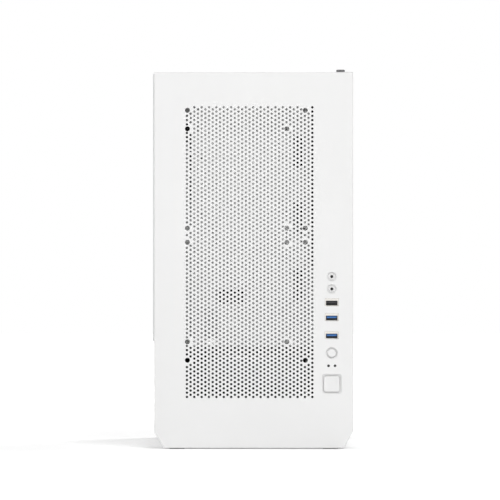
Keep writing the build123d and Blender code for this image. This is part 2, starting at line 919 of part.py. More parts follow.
with BuildPart() as filter_frame:
    with BuildSketch(level_plane(filter_top_z - filter_thickness)):
        span(-filter_width / 2, filter_width / 2, filter_front_y, rear_y)
        span(
            -filter_width / 2 + filter_border,
            filter_width / 2 - filter_border,
            filter_front_y + filter_border,
            rear_y - filter_border,
            mode=Mode.SUBTRACT,
        )
        span(-filter_border / 4, filter_border / 4, filter_front_y, rear_y)
    extrude(amount=filter_thickness)
    with BuildSketch(front_plane(rear_y)):
        span(
            -filter_width / 4,
            filter_width / 4,
            filter_top_z - filter_grip,
            filter_top_z,
        )
    extrude(amount=filter_thickness / 2)

with BuildPart() as filter_mesh:
    with BuildSketch(level_plane(filter_top_z - filter_thickness - filter_mesh_sheet)):
        span(
            -filter_width / 2 + filter_border / 2,
            filter_width / 2 - filter_border / 2,
            filter_front_y + filter_border / 2,
            rear_y - filter_border / 2,
        )
    extrude(amount=filter_mesh_sheet)

with BuildPart() as filter_rails:
    with BuildSketch(front_plane(filter_front_y - filter_fit - rail_sheet)):
        rail_outer = filter_width / 2 + filter_fit + rail_sheet
        span(rail_outer - rail_sheet, rail_outer, rail_z, foot_height)
        span(rail_outer - rail_lip, rail_outer, rail_z, rail_z + rail_sheet)
        mirror(about=Plane.YZ)
    extrude(amount=-(filter_length + filter_fit + rail_sheet))

# Inner wall behind the front, with the cable slots and notches that show through the holes
with BuildPart() as inner_front_wall:
    with BuildSketch(front_plane(wall_y)):
        span(frame_x + sheet, wall_right_x, shelf_z, ceiling_z)
        with Locations(*[(wall_slot_x, wall_slot_top_z - i * wall_slot_pitch) for i in range(wall_slot_count)]):
            Rectangle(wall_slot_width, wall_slot_height, mode=Mode.SUBTRACT)
        with Locations((cross_slot_x, cross_slot_z)):
            Rectangle(cross_slot_width, cross_slot_height, mode=Mode.SUBTRACT)
        span(notch_x - notch_width / 2, notch_x + notch_width / 2, shelf_z, notch_top_z, mode=Mode.SUBTRACT)
        span(slit_x - slit_width / 2, slit_x + slit_width / 2, shelf_z, slit_top_z, mode=Mode.SUBTRACT)
        with Locations((slit_head_x, slit_top_z)):
            Rectangle(slit_head_width, slit_head_height, mode=Mode.SUBTRACT)
        with Locations((wall_hole_x, wall_hole_upper_z), (wall_hole_x, wall_hole_upper_z - wall_hole_spacing)):
            hexagon(wall_hole, mode=Mode.SUBTRACT)
    extrude(amount=-sheet)
    with BuildSketch(side_plane(wall_right_x)):
        span(wall_y, wall_y + wall_flange, shelf_z, ceiling_z)
    extrude(amount=-sheet)

# Motherboard tray with its board
tray_front_y = front_y + tray_from_front

with BuildPart() as motherboard_tray:
    with BuildSketch(side_plane(tray_x)):
        span(tray_front_y, rear_wall_y, shelf_z, ceiling_z)
        with Locations((cpu_y, cpu_z)):
            Rectangle(tray_window, tray_window, mode=Mode.SUBTRACT)
        slot_y = tray_front_y + tray_cable_inset
        tray_middle_z = (shelf_z + ceiling_z) / 2
        with Locations((slot_y, tray_middle_z)):
            with GridLocations(0, tray_cable_length + tray_cable_gap, 1, tray_cable_slots):
                Rectangle(tray_cable_slot, tray_cable_length, mode=Mode.SUBTRACT)
    extrude(amount=sheet)

board_holes = [
    (board_rear_y - across, board_top_z - down)
    for across in (*board_hole_columns, board_depth - board_hole_front)
    for down in (*board_hole_rows, board_height - board_hole_low)
]

with BuildPart() as motherboard:
    with BuildSketch(side_plane(board_x)):
        span(board_rear_y - board_depth, board_rear_y, board_top_z - board_height, board_top_z)
        with Locations(*board_holes):
            hexagon(board_hole, mode=Mode.SUBTRACT)
    extrude(amount=board_sheet)

with BuildPart() as standoffs:
    with BuildSketch(side_plane(board_back_x)):
        with Locations(*board_holes):
            hexagon(standoff_flats)
            hexagon(standoff_bore, mode=Mode.SUBTRACT)
    extrude(amount=standoff_height)

with BuildPart() as board_screws:
    with BuildSketch(side_plane(board_x)):
        with Locations(*board_holes):
            hexagon(board_screw_head)
    extrude(amount=-board_screw_head_height)
    with BuildSketch(side_plane(board_x)):
        with Locations(*board_holes):
            hexagon(standoff_bore - 2 * board_screw_fit)
    extrude(amount=board_screw_length)

with BuildPart() as processor_socket:
    with BuildSketch(side_plane(board_x)):
        with Locations((cpu_y, cpu_z)):
            Rectangle(socket_size, socket_size)
    extrude(amount=-socket_height)
    chamfer(processor_socket.edges().filter_by(Axis.X), chip_height)

with BuildPart() as processor:
    with BuildSketch(side_plane(board_x - socket_height)):
        with Locations((cpu_y, cpu_z)):
            Rectangle(chip_size, chip_size)
    extrude(amount=-chip_height)

with BuildPart() as cooler_heatsink:
    with BuildSketch(side_plane(cooler_back_x)):
        with Locations((cpu_y, cpu_z)):
            facet_ring(cooler_core)
            with PolarLocations((cooler_core + cooler_radius) / 2, cooler_fins):
                Rectangle(cooler_radius - cooler_core + cooler_fin_sheet, cooler_fin_sheet)
    extrude(amount=-cooler_height)

# Fans. Each stands on a plane at its motor side, facing its open side.


def fan_spider(bore, reach):
    """Struts and the disc that carry a fan's motor, with the bearing bore, drawn in the sketch."""
    for angle in (45, 135):
        Rectangle(2 * bore + reach, fan_strut, rotation=angle)
    facet_ring(fan_hub)
    facet_bore(fan_shaft / 2 + fan_shaft_fit)


def fan_frame(plane, size):
    """Square fan frame round its bore, with the motor's struts."""
    bore = size / 2 - fan_wall
    screw_pitch = size - 2 * fan_screw_inset
    with BuildPart() as frame:
        with BuildSketch(plane):
            outline = Rectangle(size, size)
            chamfer(outline.vertices(), fan_corner)
            facet_ring(bore, mode=Mode.SUBTRACT)
            with GridLocations(screw_pitch, screw_pitch, 2, 2):
                hexagon(rear_screw_shank + 2 * rear_screw_fit, mode=Mode.SUBTRACT)
        extrude(amount=fan_depth)
        with BuildSketch(plane):
            fan_spider(bore, fan_strut_root)
        extrude(amount=fan_strut_depth)
    return frame


def fan_rotor(plane, tip, depth):
    """Hub with pitched blades, on a shaft that runs in the bearing of the frame."""
    hub_start = fan_strut_depth + fan_hub_gap
    hub_length = depth - hub_start - blade_margin
    middle = plane.origin + plane.z_dir * (hub_start + hub_length / 2)
    pitch = radians(blade_pitch)
    chord_dir = plane.y_dir * cos(pitch) + plane.z_dir * sin(pitch)
    tip_chord = hub_length / sin(pitch) - blade_sheet
    root_chord = tip_chord * root_share
    with BuildPart() as blade:
        with BuildSketch(Plane(middle, x_dir=plane.x_dir, z_dir=plane.x_dir.cross(chord_dir))):
            Polygon(
                (fan_hub - blade_sheet, -root_chord / 2),
                (tip, -tip_chord / 2),
                (tip, tip_chord / 2),
                (fan_hub - blade_sheet, root_chord / 2),
                align=None,
            )
        extrude(amount=blade_sheet / 2, both=True)
    spin = Axis(plane.origin, plane.z_dir)
    with BuildPart() as rotor:
        with BuildSketch(plane.offset(hub_start)):
            facet_ring(fan_hub)
        extrude(amount=hub_length)
        with BuildSketch(plane.offset(fan_hub_gap)):
            facet_ring(fan_shaft / 2, small_facets)
        extrude(amount=hub_start)
        for index in range(fan_blades):
            add(blade.part.rotate(spin, 360 * index / fan_blades))
    return rotor


rear_fan_plane = Plane((centre_x + rear_fan_x, rear_wall_y, rear_fan_z), x_dir=(1, 0, 0), z_dir=(0, -1, 0))
rear_fan_frame = fan_frame(rear_fan_plane, rear_fan_size)
rear_fan_rotor = fan_rotor(rear_fan_plane, rear_fan_bore - fan_tip_gap, fan_depth)

cooler_fan_plane = Plane((centre_x + cooler_front_x, cpu_y, cpu_z), x_dir=(0, 1, 0), z_dir=(-1, 0, 0))
cooler_bore = cooler_ring - cooler_ring_wall
post_length = board_x - cooler_front_x
post_radius = cooler_post_square / sqrt(2)

with BuildPart() as cooler_fan_frame:
    with BuildSketch(cooler_fan_plane):
        facet_ring(cooler_ring)
        facet_ring(cooler_bore, mode=Mode.SUBTRACT)
    extrude(amount=cooler_fan_depth)
    with BuildSketch(cooler_fan_plane):
        fan_spider(cooler_bore, cooler_ring_wall)
    extrude(amount=fan_strut_depth)
    with BuildSketch(cooler_fan_plane):
        with PolarLocations((cooler_ring + post_radius) / 2, 4, start_angle=45):
            Rectangle(post_radius - cooler_ring + cooler_ring_wall, cooler_arm)
    extrude(amount=cooler_arm_thickness)
    with BuildSketch(cooler_fan_plane.offset(cooler_arm_thickness)):
        with PolarLocations(post_radius, 4, start_angle=45):
            hexagon(cooler_post)
    extrude(amount=-(post_length + cooler_arm_thickness))

cooler_fan_rotor = fan_rotor(cooler_fan_plane, cooler_bore - fan_tip_gap, cooler_fan_depth)

# Memory and expansion slots on the board
memory_y = board_rear_y - board_depth + memory_slots_from_front
memory_top_z = board_top_z - memory_from_top
memory_ys = [memory_y + i * memory_slot_pitch for i in range(memory_slot_count)]

with BuildPart() as memory_slots:
    with BuildSketch(level_plane(memory_top_z)):
        for y in memory_ys:
            span(board_x - memory_slot_height, board_x, y - memory_slot_width / 2, y + memory_slot_width / 2)
    extrude(amount=-memory_slot_length)
    groove_end = (memory_slot_length - memory_length) / 2 - io_fit
    with BuildSketch(level_plane(memory_top_z - groove_end)):
        for y in memory_ys:
            span(
                board_x - memory_slot_height,
                board_x - memory_slot_height + memory_groove_depth,
                y - memory_groove / 2,
                y + memory_groove / 2,
            )
    extrude(amount=-(memory_slot_length - 2 * groove_end), mode=Mode.SUBTRACT)

module_foot_x = board_x - memory_slot_height + memory_groove_depth

with BuildPart() as memory_modules:
    module_top_z = memory_top_z - (memory_slot_length - memory_length) / 2
    with BuildSketch(level_plane(module_top_z)):
        for y in memory_ys[1::2]:
            span(module_foot_x - memory_height, module_foot_x, y - memory_edge / 2, y + memory_edge / 2)
            span(
                module_foot_x - memory_height,
                board_x - memory_slot_height - io_fit,
                y - memory_spreader / 2,
                y + memory_spreader / 2,
            )
    extrude(amount=-memory_length)

slot_end_y = board_rear_y - slot_from_rear

with BuildPart() as expansion_slots:
    with BuildSketch(front_plane(slot_end_y)):
        for z in slot_heights[0::2]:
            span(board_x - slot_height, board_x, z - slot_width / 2, z + slot_width / 2)
            span(
                board_x - slot_height,
                board_x - slot_height + slot_groove_depth,
                z - slot_groove / 2,
                z + slot_groove / 2,
                mode=Mode.SUBTRACT,
            )
    extrude(amount=long_slot)
    with BuildSketch(front_plane(slot_end_y)):
        for z in slot_heights[1::2]:
            span(board_x - slot_height, board_x, z - slot_width / 2, z + slot_width / 2)
            span(
                board_x - slot_height,
                board_x - slot_height + slot_groove_depth,
                z - slot_groove / 2,
                z + slot_groove / 2,
                mode=Mode.SUBTRACT,
            )
    extrude(amount=short_slot)


def finned_profile(low, high):
    """Comb outline of a finned heatsink on the board, fins between two bounds along it."""
    span(board_x - sink_base, board_x, low, high)
    fins = int((high - low - sink_fin) / (sink_fin + sink_gap)) + 1
    step = (high - low - sink_fin) / (fins - 1)
    for index in range(fins):
        start = low + index * step
        span(board_x - sink_height, board_x, start, start + sink_fin)


sink_rear_y = board_rear_y - port_area_width + connector_from_edge
top_sink_y = cpu_y + cooler_post_square / 2
chip_sink_z = board_top_z - board_height + chip_sink_rise
chip_sink_y = memory_y + memory_slot_pitch

with BuildPart() as board_heatsinks:
    with BuildSketch(front_plane(top_sink_y)):
        finned_profile(board_top_z - sink_from_edge - sink_width, board_top_z - sink_from_edge)
    extrude(amount=cooler_post_square)
    with BuildSketch(level_plane(cpu_z + cooler_post_square / 2)):
        finned_profile(sink_rear_y - rear_sink_width, sink_rear_y)
    extrude(amount=-cooler_post_square)
    with BuildSketch(front_plane(chip_sink_y + socket_size / 2)):
        with Locations((board_x - sink_base, chip_sink_z)):
            Rectangle(2 * sink_base, socket_size)
    extrude(amount=socket_size)

with BuildPart() as coin_cell:
    with BuildSketch(side_plane(board_x)):
        with Locations((slot_end_y - long_slot - coin_diameter, slot_heights[1] + slot_pitch / 2)):
            facet_ring(coin_diameter / 2)
    extrude(amount=-coin_height)

board_front_y = board_rear_y - board_depth
main_connector_y = board_front_y + connector_from_edge

with BuildPart() as board_connectors:
    with BuildSketch(side_plane(board_x)):
        with Locations((main_connector_y + main_connector_width / 2, cpu_z)):
            Rectangle(main_connector_width, main_connector_length)
    extrude(amount=-main_connector_height)
    with BuildSketch(side_plane(board_x - connector_floor)):
        with Locations((main_connector_y + main_connector_width / 2, cpu_z)):
            Rectangle(main_connector_width - 2 * connector_wall, main_connector_length - 2 * connector_wall)
    extrude(amount=-main_connector_height, mode=Mode.SUBTRACT)

# Rear sockets, their shield and the slot covers
port_places = [(board_x - tall / 2, port_top_z - down, tall, wide) for down, tall, wide in port_blocks]

with BuildPart() as rear_ports:
    with BuildSketch(front_plane(rear_y + port_proud)):
        for x, z, tall, wide in port_places:
            with Locations((x, z)):
                Rectangle(tall, wide)
    extrude(amount=rear_y + port_proud - board_rear_y + port_length)
    with BuildSketch(front_plane(rear_y + port_proud)):
        for x, z, tall, wide in port_places:
            with Locations((x - tall / 4, z), (x + tall / 4, z)):
                Rectangle(tall / 2 - port_rib, wide - 2 * port_wall)
    extrude(amount=port_hole_depth, mode=Mode.SUBTRACT)

with BuildPart() as port_shield:
    with BuildSketch(front_plane(rear_wall_y - port_shield_sheet)):
        span(
            port_left_x - port_shield_lap + port_fit,
            board_x,
            port_top_z - port_area_height,
            port_top_z,
        )
        for x, z, tall, wide in port_places:
            with Locations((x, z)):
                Rectangle(tall + 2 * port_fit, wide + 2 * port_fit, mode=Mode.SUBTRACT)
    extrude(amount=-port_shield_sheet)

with BuildPart() as slot_covers:
    with BuildSketch(front_plane(rear_wall_y - sheet)):
        for z in slot_heights:
            span(
                cover_right_x - slot_cover_length,
                cover_right_x,
                z - slot_cover_height / 2,
                z + slot_cover_height / 2,
            )
        with Locations(*slot_screws):
            hexagon(rear_screw_shank + 2 * rear_screw_fit, mode=Mode.SUBTRACT)
    extrude(amount=-sheet)

with BuildPart() as rear_screws:
    with BuildSketch(front_plane(rear_y)):
        with Locations(*rear_screw_places):
            hexagon(rear_screw_head)
    extrude(amount=-rear_proud)
    with BuildSketch(front_plane(rear_y)):
        with Locations(*rear_screw_places):
            hexagon(rear_screw_shank)
    extrude(amount=rear_screw_length)

# Power supply: folded case open below, fan cover, fan, inlet and rocker switch
rocker_x = inlet_x + inlet_width / 2 - inlet_rim - rocker_width
cavity_x = inlet_x - inlet_width / 2 + inlet_rim * 2 + inlet_cavity_width / 2

with BuildPart() as psu_case:
    with BuildSketch(level_plane(psu_bottom_z + psu_sheet)):
        span(-psu_width / 2, psu_width / 2, psu_front_y, rear_wall_y)
    extrude(amount=psu_height - psu_sheet)
    with BuildSketch(level_plane(psu_bottom_z + psu_sheet)):
        span(
            -psu_width / 2 + psu_sheet,
            psu_width / 2 - psu_sheet,
            psu_front_y + psu_sheet,
            rear_wall_y - psu_sheet,
        )
    extrude(amount=psu_height - 2 * psu_sheet, mode=Mode.SUBTRACT)
    with BuildSketch(front_plane(rear_wall_y)):
        with Locations((inlet_x, inlet_z)):
            Rectangle(inlet_width + 2 * io_fit, inlet_height + 2 * io_fit)
        with Locations((-psu_width / 4 + psu_screw_inset, psu_bottom_z + psu_height / 2)):
            with GridLocations(0, vent_pitch, 1, psu_vent_rows):
                Rectangle(vent_length - psu_screw_inset, vent_slot)
        with Locations(*psu_screws):
            hexagon(rear_screw_shank + 2 * rear_screw_fit)
    extrude(amount=psu_sheet, mode=Mode.SUBTRACT)

with BuildPart() as psu_cover:
    with BuildSketch(level_plane(psu_bottom_z)):
        span(-psu_width / 2, psu_width / 2, psu_front_y, rear_wall_y)
        with Locations((0, psu_fan_y)):
            facet_ring(psu_fan_bore, mode=Mode.SUBTRACT)
    extrude(amount=psu_sheet)

psu_fan_plane = Plane(
    (centre_x, psu_fan_y, psu_bottom_z + psu_sheet + fan_depth), x_dir=(1, 0, 0), z_dir=(0, 0, -1)
)
psu_fan_frame = fan_frame(psu_fan_plane, psu_fan_size)
psu_fan_rotor = fan_rotor(psu_fan_plane, psu_fan_bore - fan_tip_gap, fan_depth)

with BuildPart() as psu_inlet:
    with BuildSketch(front_plane(rear_wall_y)):
        with Locations((inlet_x, inlet_z)):
            Rectangle(inlet_width + 2 * inlet_rim, inlet_height + 2 * inlet_rim)
    extrude(amount=-inlet_rim_depth)
    with BuildSketch(front_plane(rear_wall_y)):
        with Locations((inlet_x, inlet_z)):
            Rectangle(inlet_width, inlet_height)
    extrude(amount=inlet_depth)
    with BuildSketch(front_plane(rear_wall_y + inlet_rim_depth)):
        with Locations((cavity_x, inlet_z)):
            cavity = Rectangle(inlet_cavity_width, inlet_cavity_height)
        chamfer(cavity.vertices().group_by(Axis.Z)[-1], inlet_cavity_cut)
        with Locations((rocker_x, inlet_z)):
            Rectangle(rocker_width + 2 * rocker_fit, rocker_height + 2 * rocker_fit)
    extrude(amount=inlet_cavity_depth, mode=Mode.SUBTRACT)
    with BuildSketch(front_plane(rear_wall_y + inlet_rim_depth - inlet_cavity_depth)):
        with Locations(
            (cavity_x - inlet_pin_spacing / 2, inlet_z - inlet_pin_drop),
            (cavity_x + inlet_pin_spacing / 2, inlet_z - inlet_pin_drop),
            (cavity_x, inlet_z + inlet_pin_drop),
        ):
            Rectangle(inlet_pin_thickness, inlet_pin_width)
    extrude(amount=-inlet_pin_length)
    with BuildSketch(side_plane(rocker_x - rocker_width / 2 - rocker_fit)):
        with Locations((rear_wall_y, inlet_z)):
            facet_ring(rocker_pin / 2, small_facets)
    extrude(amount=rocker_width + 2 * rocker_fit)

rocker_reach = rocker_height / 2
rocker_spin = Axis((centre_x + rocker_x, rear_wall_y, inlet_z), (1, 0, 0))

with BuildPart() as upright_rocker:
    with BuildSketch(side_plane(rocker_x - rocker_width / 2)):
        with Locations((rear_wall_y, inlet_z)):
            Polygon(
                (rocker_depth / 2, rocker_reach),
                (rocker_depth / 4, 0),
                (rocker_depth / 2, -rocker_reach),
                (-rocker_depth / 4, -rocker_reach),
                (-rocker_depth, 0),
                (-rocker_depth / 4, rocker_reach),
                align=None,
            )
            facet_bore(rocker_pin / 2 + rocker_pin_fit)
    extrude(amount=rocker_width)

with BuildPart() as psu_rocker:
    add(upright_rocker.part.rotate(rocker_spin, -rocker_tilt))

# Drives: one hard drive screwed into the cage, one solid-state drive on the shelf
cage_half = drive_width / 2 + drive_fit + sheet
drive_screw_ys = [drive_y + drive_length / 2 + side * drive_screw_spacing / 2 for side in (-1, 1)]
drive_screw_places = [(y, drive_bottom_z + drive_screw_rise) for y in drive_screw_ys]

with BuildPart() as drive_cage:
    with BuildSketch(front_plane(drive_y)):
        span(drive_x - cage_half, drive_x + cage_half, floor_z, shelf_z - sheet)
        span(
            drive_x - cage_half + sheet,
            drive_x + cage_half - sheet,
            floor_z + sheet,
            shelf_z - 2 * sheet,
            mode=Mode.SUBTRACT,
        )
    extrude(amount=-drive_length)
    with BuildSketch(side_plane(drive_x - cage_half)):
        with Locations(*drive_screw_places):
            hexagon(drive_screw + 2 * rear_screw_fit)
        with Locations((drive_y + drive_length / 2, floor_z + drive_height)):
            Rectangle(drive_length - cage_post, drive_height)
    extrude(amount=2 * cage_half, mode=Mode.SUBTRACT)

with BuildPart() as hard_drive:
    with BuildSketch(front_plane(drive_y)):
        with Locations((drive_x, drive_bottom_z + (drive_height - drive_cover_step) / 2)):
            Rectangle(drive_width, drive_height - drive_cover_step)
    extrude(amount=-drive_length)
    with BuildSketch(level_plane(drive_bottom_z + drive_height - drive_cover_step)):
        with Locations((drive_x, drive_y + drive_length / 2)):
            cover = Rectangle(drive_width - 2 * drive_cover_inset, drive_length - 2 * drive_cover_inset)
        chamfer(cover.vertices(), drive_cover_inset)
    extrude(amount=drive_cover_step)
    with BuildSketch(side_plane(drive_x - drive_width / 2)):
        with Locations(*drive_screw_places):
            hexagon(drive_screw + 2 * rear_screw_fit)
    extrude(amount=drive_width, mode=Mode.SUBTRACT)

with BuildPart() as drive_screws:
    for side in (-1, 1):
        wall_face = drive_x + side * cage_half
        with BuildSketch(side_plane(wall_face)):
            with Locations(*drive_screw_places):
                hexagon(drive_screw_head)
        extrude(amount=side * drive_screw_head_height)
        with BuildSketch(side_plane(wall_face)):
            with Locations(*drive_screw_places):
                hexagon(drive_screw)
        extrude(amount=-side * board_screw_length)

with BuildPart() as solid_state_drive:
    with BuildSketch(level_plane(shelf_z)):
        with Locations((ssd_x, wall_y + ssd_from_wall + ssd_length / 2)):
            shell = Rectangle(ssd_width, ssd_length)
        chamfer(shell.vertices(), ssd_corner)
    extrude(amount=ssd_height)
    chamfer(solid_state_drive.faces().sort_by(Axis.Z)[-1].edges(), ssd_edge)

pieces = {
    "front_panel": front_panel,
    "front_mesh": front_mesh,
    "io_holder": io_holder,
    "io_board": io_board,
    "audio_jacks": audio_jacks,
    "usb2_shell": usb2_shell,
    "usb2_tongue": usb2_tongue,
    "usb3_shells": usb3_shells,
    "usb3_tongues": usb3_tongues,
    "light_pipes": light_pipes,
    "push_switches": push_switches,
    "power_button": power_button,
    "reset_button": reset_button,
    "roof_panel": roof_panel,
    "base_pan": base_pan,
    "rear_panel": rear_panel,
    "psu_shroud": psu_shroud,
    "left_side_frame": left_side_frame,
    "stud_sockets": stud_sockets,
    "glass_panel": glass_panel,
    "glass_studs": glass_studs,
    "right_panel": right_panel,
    "roof_thumbscrew": roof_thumbscrew,
    "feet": feet,
    "foot_pads": foot_pads,
    "filter_frame": filter_frame,
    "filter_mesh": filter_mesh,
    "filter_rails": filter_rails,
    "inner_front_wall": inner_front_wall,
    "motherboard_tray": motherboard_tray,
    "motherboard": motherboard,
    "standoffs": standoffs,
    "board_screws": board_screws,
    "processor_socket": processor_socket,
    "processor": processor,
    "cooler_heatsink": cooler_heatsink,
    "cooler_fan_frame": cooler_fan_frame,
    "cooler_fan_rotor": cooler_fan_rotor,
    "memory_slots": memory_slots,
    "memory_modules": memory_modules,
    "expansion_slots": expansion_slots,
    "board_heatsinks": board_heatsinks,
    "coin_cell": coin_cell,
    "board_connectors": board_connectors,
    "rear_ports": rear_ports,
    "port_shield": port_shield,
    "slot_covers": slot_covers,
    "rear_screws": rear_screws,
    "rear_fan_frame": rear_fan_frame,
    "rear_fan_rotor": rear_fan_rotor,
    "psu_case": psu_case,
    "psu_cover": psu_cover,
    "psu_fan_frame": psu_fan_frame,
    "psu_fan_rotor": psu_fan_rotor,
    "psu_inlet": psu_inlet,
    "psu_rocker": psu_rocker,
    "drive_cage": drive_cage,
    "hard_drive": hard_drive,
    "drive_screws": drive_screws,
    "solid_state_drive": solid_state_drive,
}

for name, piece in pieces.items():
    piece.part.label = name
    export_step(piece.part, f"parts/{name}.step")
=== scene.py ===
"""Looks of a mini-tower desktop computer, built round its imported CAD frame.

Metres, in the frame of the CAD: x to the right as seen from the front, y to the rear, z up.
"""
import json
import math

import bmesh
import bpy
from mathutils import Matrix, Vector
from mathutils.geometry import delaunay_2d_cdt


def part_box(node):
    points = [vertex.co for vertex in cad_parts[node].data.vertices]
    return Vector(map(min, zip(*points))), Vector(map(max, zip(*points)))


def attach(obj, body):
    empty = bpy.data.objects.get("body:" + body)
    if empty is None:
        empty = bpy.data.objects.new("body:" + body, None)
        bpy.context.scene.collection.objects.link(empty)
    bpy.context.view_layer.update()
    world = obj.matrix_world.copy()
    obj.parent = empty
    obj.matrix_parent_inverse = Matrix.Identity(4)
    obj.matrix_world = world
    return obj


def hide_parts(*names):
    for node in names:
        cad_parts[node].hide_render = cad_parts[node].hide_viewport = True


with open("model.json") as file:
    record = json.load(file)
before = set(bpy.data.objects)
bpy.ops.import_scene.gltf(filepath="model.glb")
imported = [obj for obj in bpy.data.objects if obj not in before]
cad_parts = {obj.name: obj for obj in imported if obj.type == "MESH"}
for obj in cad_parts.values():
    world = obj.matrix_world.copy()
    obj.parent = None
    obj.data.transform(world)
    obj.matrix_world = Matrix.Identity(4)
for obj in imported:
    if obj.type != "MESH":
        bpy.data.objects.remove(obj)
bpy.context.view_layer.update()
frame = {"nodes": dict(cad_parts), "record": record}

MM = 0.001
ROOT = "chassis"
QUARTER = math.pi / 2
weld_distance = 1e-6
flat_tolerance = 1e-9

# Places read from the frame
front_low, front_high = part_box("front_panel")
mesh_low, mesh_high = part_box("front_mesh")
front_y = front_low[1]
body_x = (front_low[0] + front_high[0]) / 2
half_width = (front_high[0] - front_low[0]) / 2
body_top = front_high[2]
body_bottom = front_low[2]
field_x = (mesh_low[0] + mesh_high[0]) / 2
field_z = (mesh_low[2] + mesh_high[2]) / 2

# Front sheet
sheet = 1.0 * MM
front_return = 12.0 * MM
taper_inset = 10.0 * MM
taper_top = 18.0 * MM
bend_steps = 5

# Perforated field: columns of punched holes at 60 degrees, with fan screw holes among them
hole_pitch = 4.5 * MM
column_pitch = hole_pitch * math.sin(math.radians(60))
hole_radius = 1.32 * MM
hole_sides = 12
hole_columns = 35
hole_rows = 69
fan_hole_radius = 2.65 * MM
fan_hole_sides = 28
fan_hole_clear = 4.2 * MM
fan_column_x = body_x - 70.0 * MM
fan_middle_z = 225.9 * MM
fan_row_gap = 15.0 * MM
large_fan_pitch = 124.5 * MM
small_fan_pitch = 105.0 * MM


# Meshes


class Shape:
    """Vertices and faces gathered for one piece."""

    def __init__(self):
        self.verts = []
        self.faces = []

    def add(self, verts, faces):
        start = len(self.verts)
        self.verts += [Vector(v) for v in verts]
        self.faces += [[start + i for i in face] for face in faces]

    def rings(self, rings, closed=True, capped=False):
        """Skin over rings of equal length, with a face over both ends where it is capped."""
        count = len(rings[0])
        faces = []
        for r in range(len(rings) - 1):
            for i in range(count if closed else count - 1):
                j = (i + 1) % count
                faces.append([r * count + i, r * count + j, (r + 1) * count + j, (r + 1) * count + i])
        if capped:
            last = (len(rings) - 1) * count
            faces += [list(range(count)), list(range(last, last + count))]
        self.add([v for ring in rings for v in ring], faces)

    def tube(self, rings):
        """Skin over rings that lead back to the first of them."""
        self.rings(rings + rings[:1])

    def lathe(self, profile, place, segments, capped=False):
        """Turned form: profile holds (radius, height) pairs, place puts its axis z where it belongs."""
        rings = []
        for r, h in profile:
            rings.append([place @ Vector((r * math.cos(a), r * math.sin(a), h)) for a in turn(segments)])
        self.rings(rings, capped=capped)

    def block(self, low, high, edge=0.0):
        """Box between two corners, with the edges of its top and bottom cut back."""
        steps = [(0, low[2]), (0, high[2])]
        if edge:
            steps = [(edge, low[2]), (0, low[2] + edge), (0, high[2] - edge), (edge, high[2])]
        rings = []
        for inset, z in steps:
            x0, y0, x1, y1 = low[0] + inset, low[1] + inset, high[0] - inset, high[1] - inset
            rings.append([(x0, y0, z), (x1, y0, z), (x1, y1, z), (x0, y1, z)])
        self.rings(rings, capped=True)


def new_piece(name, shape, slot, nodes=(), body=ROOT, smooth_angle=30, material=None):
    """Mesh piece that rides on a body, and stands for CAD nodes where some are named."""
    mesh = bpy.data.meshes.new(name)
    mesh.from_pydata([tuple(v) for v in shape.verts], [], shape.faces)
    mesh.validate()
    tidy = bmesh.new()
    tidy.from_mesh(mesh)
    bmesh.ops.remove_doubles(tidy, verts=tidy.verts, dist=weld_distance)
    bmesh.ops.recalc_face_normals(tidy, faces=tidy.faces)
    tidy.to_mesh(mesh)
    tidy.free()
    piece = bpy.data.objects.new(name, mesh)
    bpy.context.scene.collection.objects.link(piece)
    mesh.materials.append(material or looks[slot])
    mesh.shade_smooth()
    mesh.set_sharp_from_angle(angle=math.radians(smooth_angle))
    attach(piece, body)
    if nodes:
        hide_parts(*nodes)
    return piece


def turn(segments, start=0.0):
    """Angles of a full turn."""
    return [start + 2 * math.pi * i / segments for i in range(segments)]


def circle(x, z, radius, sides):
    return [(x + radius * math.cos(a), z + radius * math.sin(a)) for a in turn(sides)]


def rounded_box(x, z, width, height, corner, steps=6):
    """Loop of a rectangle with round corners."""
    loop = []
    for index, (sx, sz) in enumerate(((1, 1), (-1, 1), (-1, -1), (1, -1))):
        cx, cz = x + sx * (width / 2 - corner), z + sz * (height / 2 - corner)
        for step in range(steps + 1):
            a = QUARTER * (index + step / steps)
            loop.append((cx + corner * math.cos(a), cz + corner * math.sin(a)))
    return loop


def inset_loop(loop, inset):
    """Convex loop moved inwards by a distance."""
    count = len(loop)
    moved = []
    for i in range(count):
        before = Vector(loop[i]) - Vector(loop[i - 1])
        after = Vector(loop[(i + 1) % count]) - Vector(loop[i])
        n0 = Vector((-before.y, before.x)).normalized()
        n1 = Vector((-after.y, after.x)).normalized()
        moved.append(tuple(Vector(loop[i]) + (n0 + n1) * inset / (1 + n0.dot(n1))))
    return moved


def punched_faces(outline, holes):
    """Points and edges of a convex sheet with convex holes, and the triangles between its loops."""
    points, edges, owner = [], [], []
    for number, loop in enumerate([outline] + holes):
        start = len(points)
        points += loop
        owner += [number] * len(loop)
        edges += [(start + i, start + (i + 1) % len(loop)) for i in range(len(loop))]
    flat = [Vector(p) for p in points]
    coords, _, faces, source, _, _ = delaunay_2d_cdt(flat, edges, [], 0, flat_tolerance)
    back = [source[i][0] for i in range(len(coords))]
    kept = []
    for face in faces:
        corners = [back[i] for i in face]
        owners = {owner[i] for i in corners}
        if len(owners) > 1 or owners == {0}:
            kept.append(corners)
    return points, edges, kept


def add_punched(shape, outline, holes, place, thickness, rim=True):
    """Flat sheet with holes, from its face at height 0 of place down to the thickness."""
    points, edges, faces = punched_faces(outline, holes)
    top = [place @ Vector((u, v, 0)) for u, v in points]
    under = [place @ Vector((u, v, -thickness)) for u, v in points]
    count = len(points)
    under_faces = [[i + count for i in reversed(face)] for face in faces]
    walled = edges if rim else edges[len(outline):]
    walls = [[b, a, a + count, b + count] for a, b in walled]
    shape.add(top + under, faces + under_faces + walls)


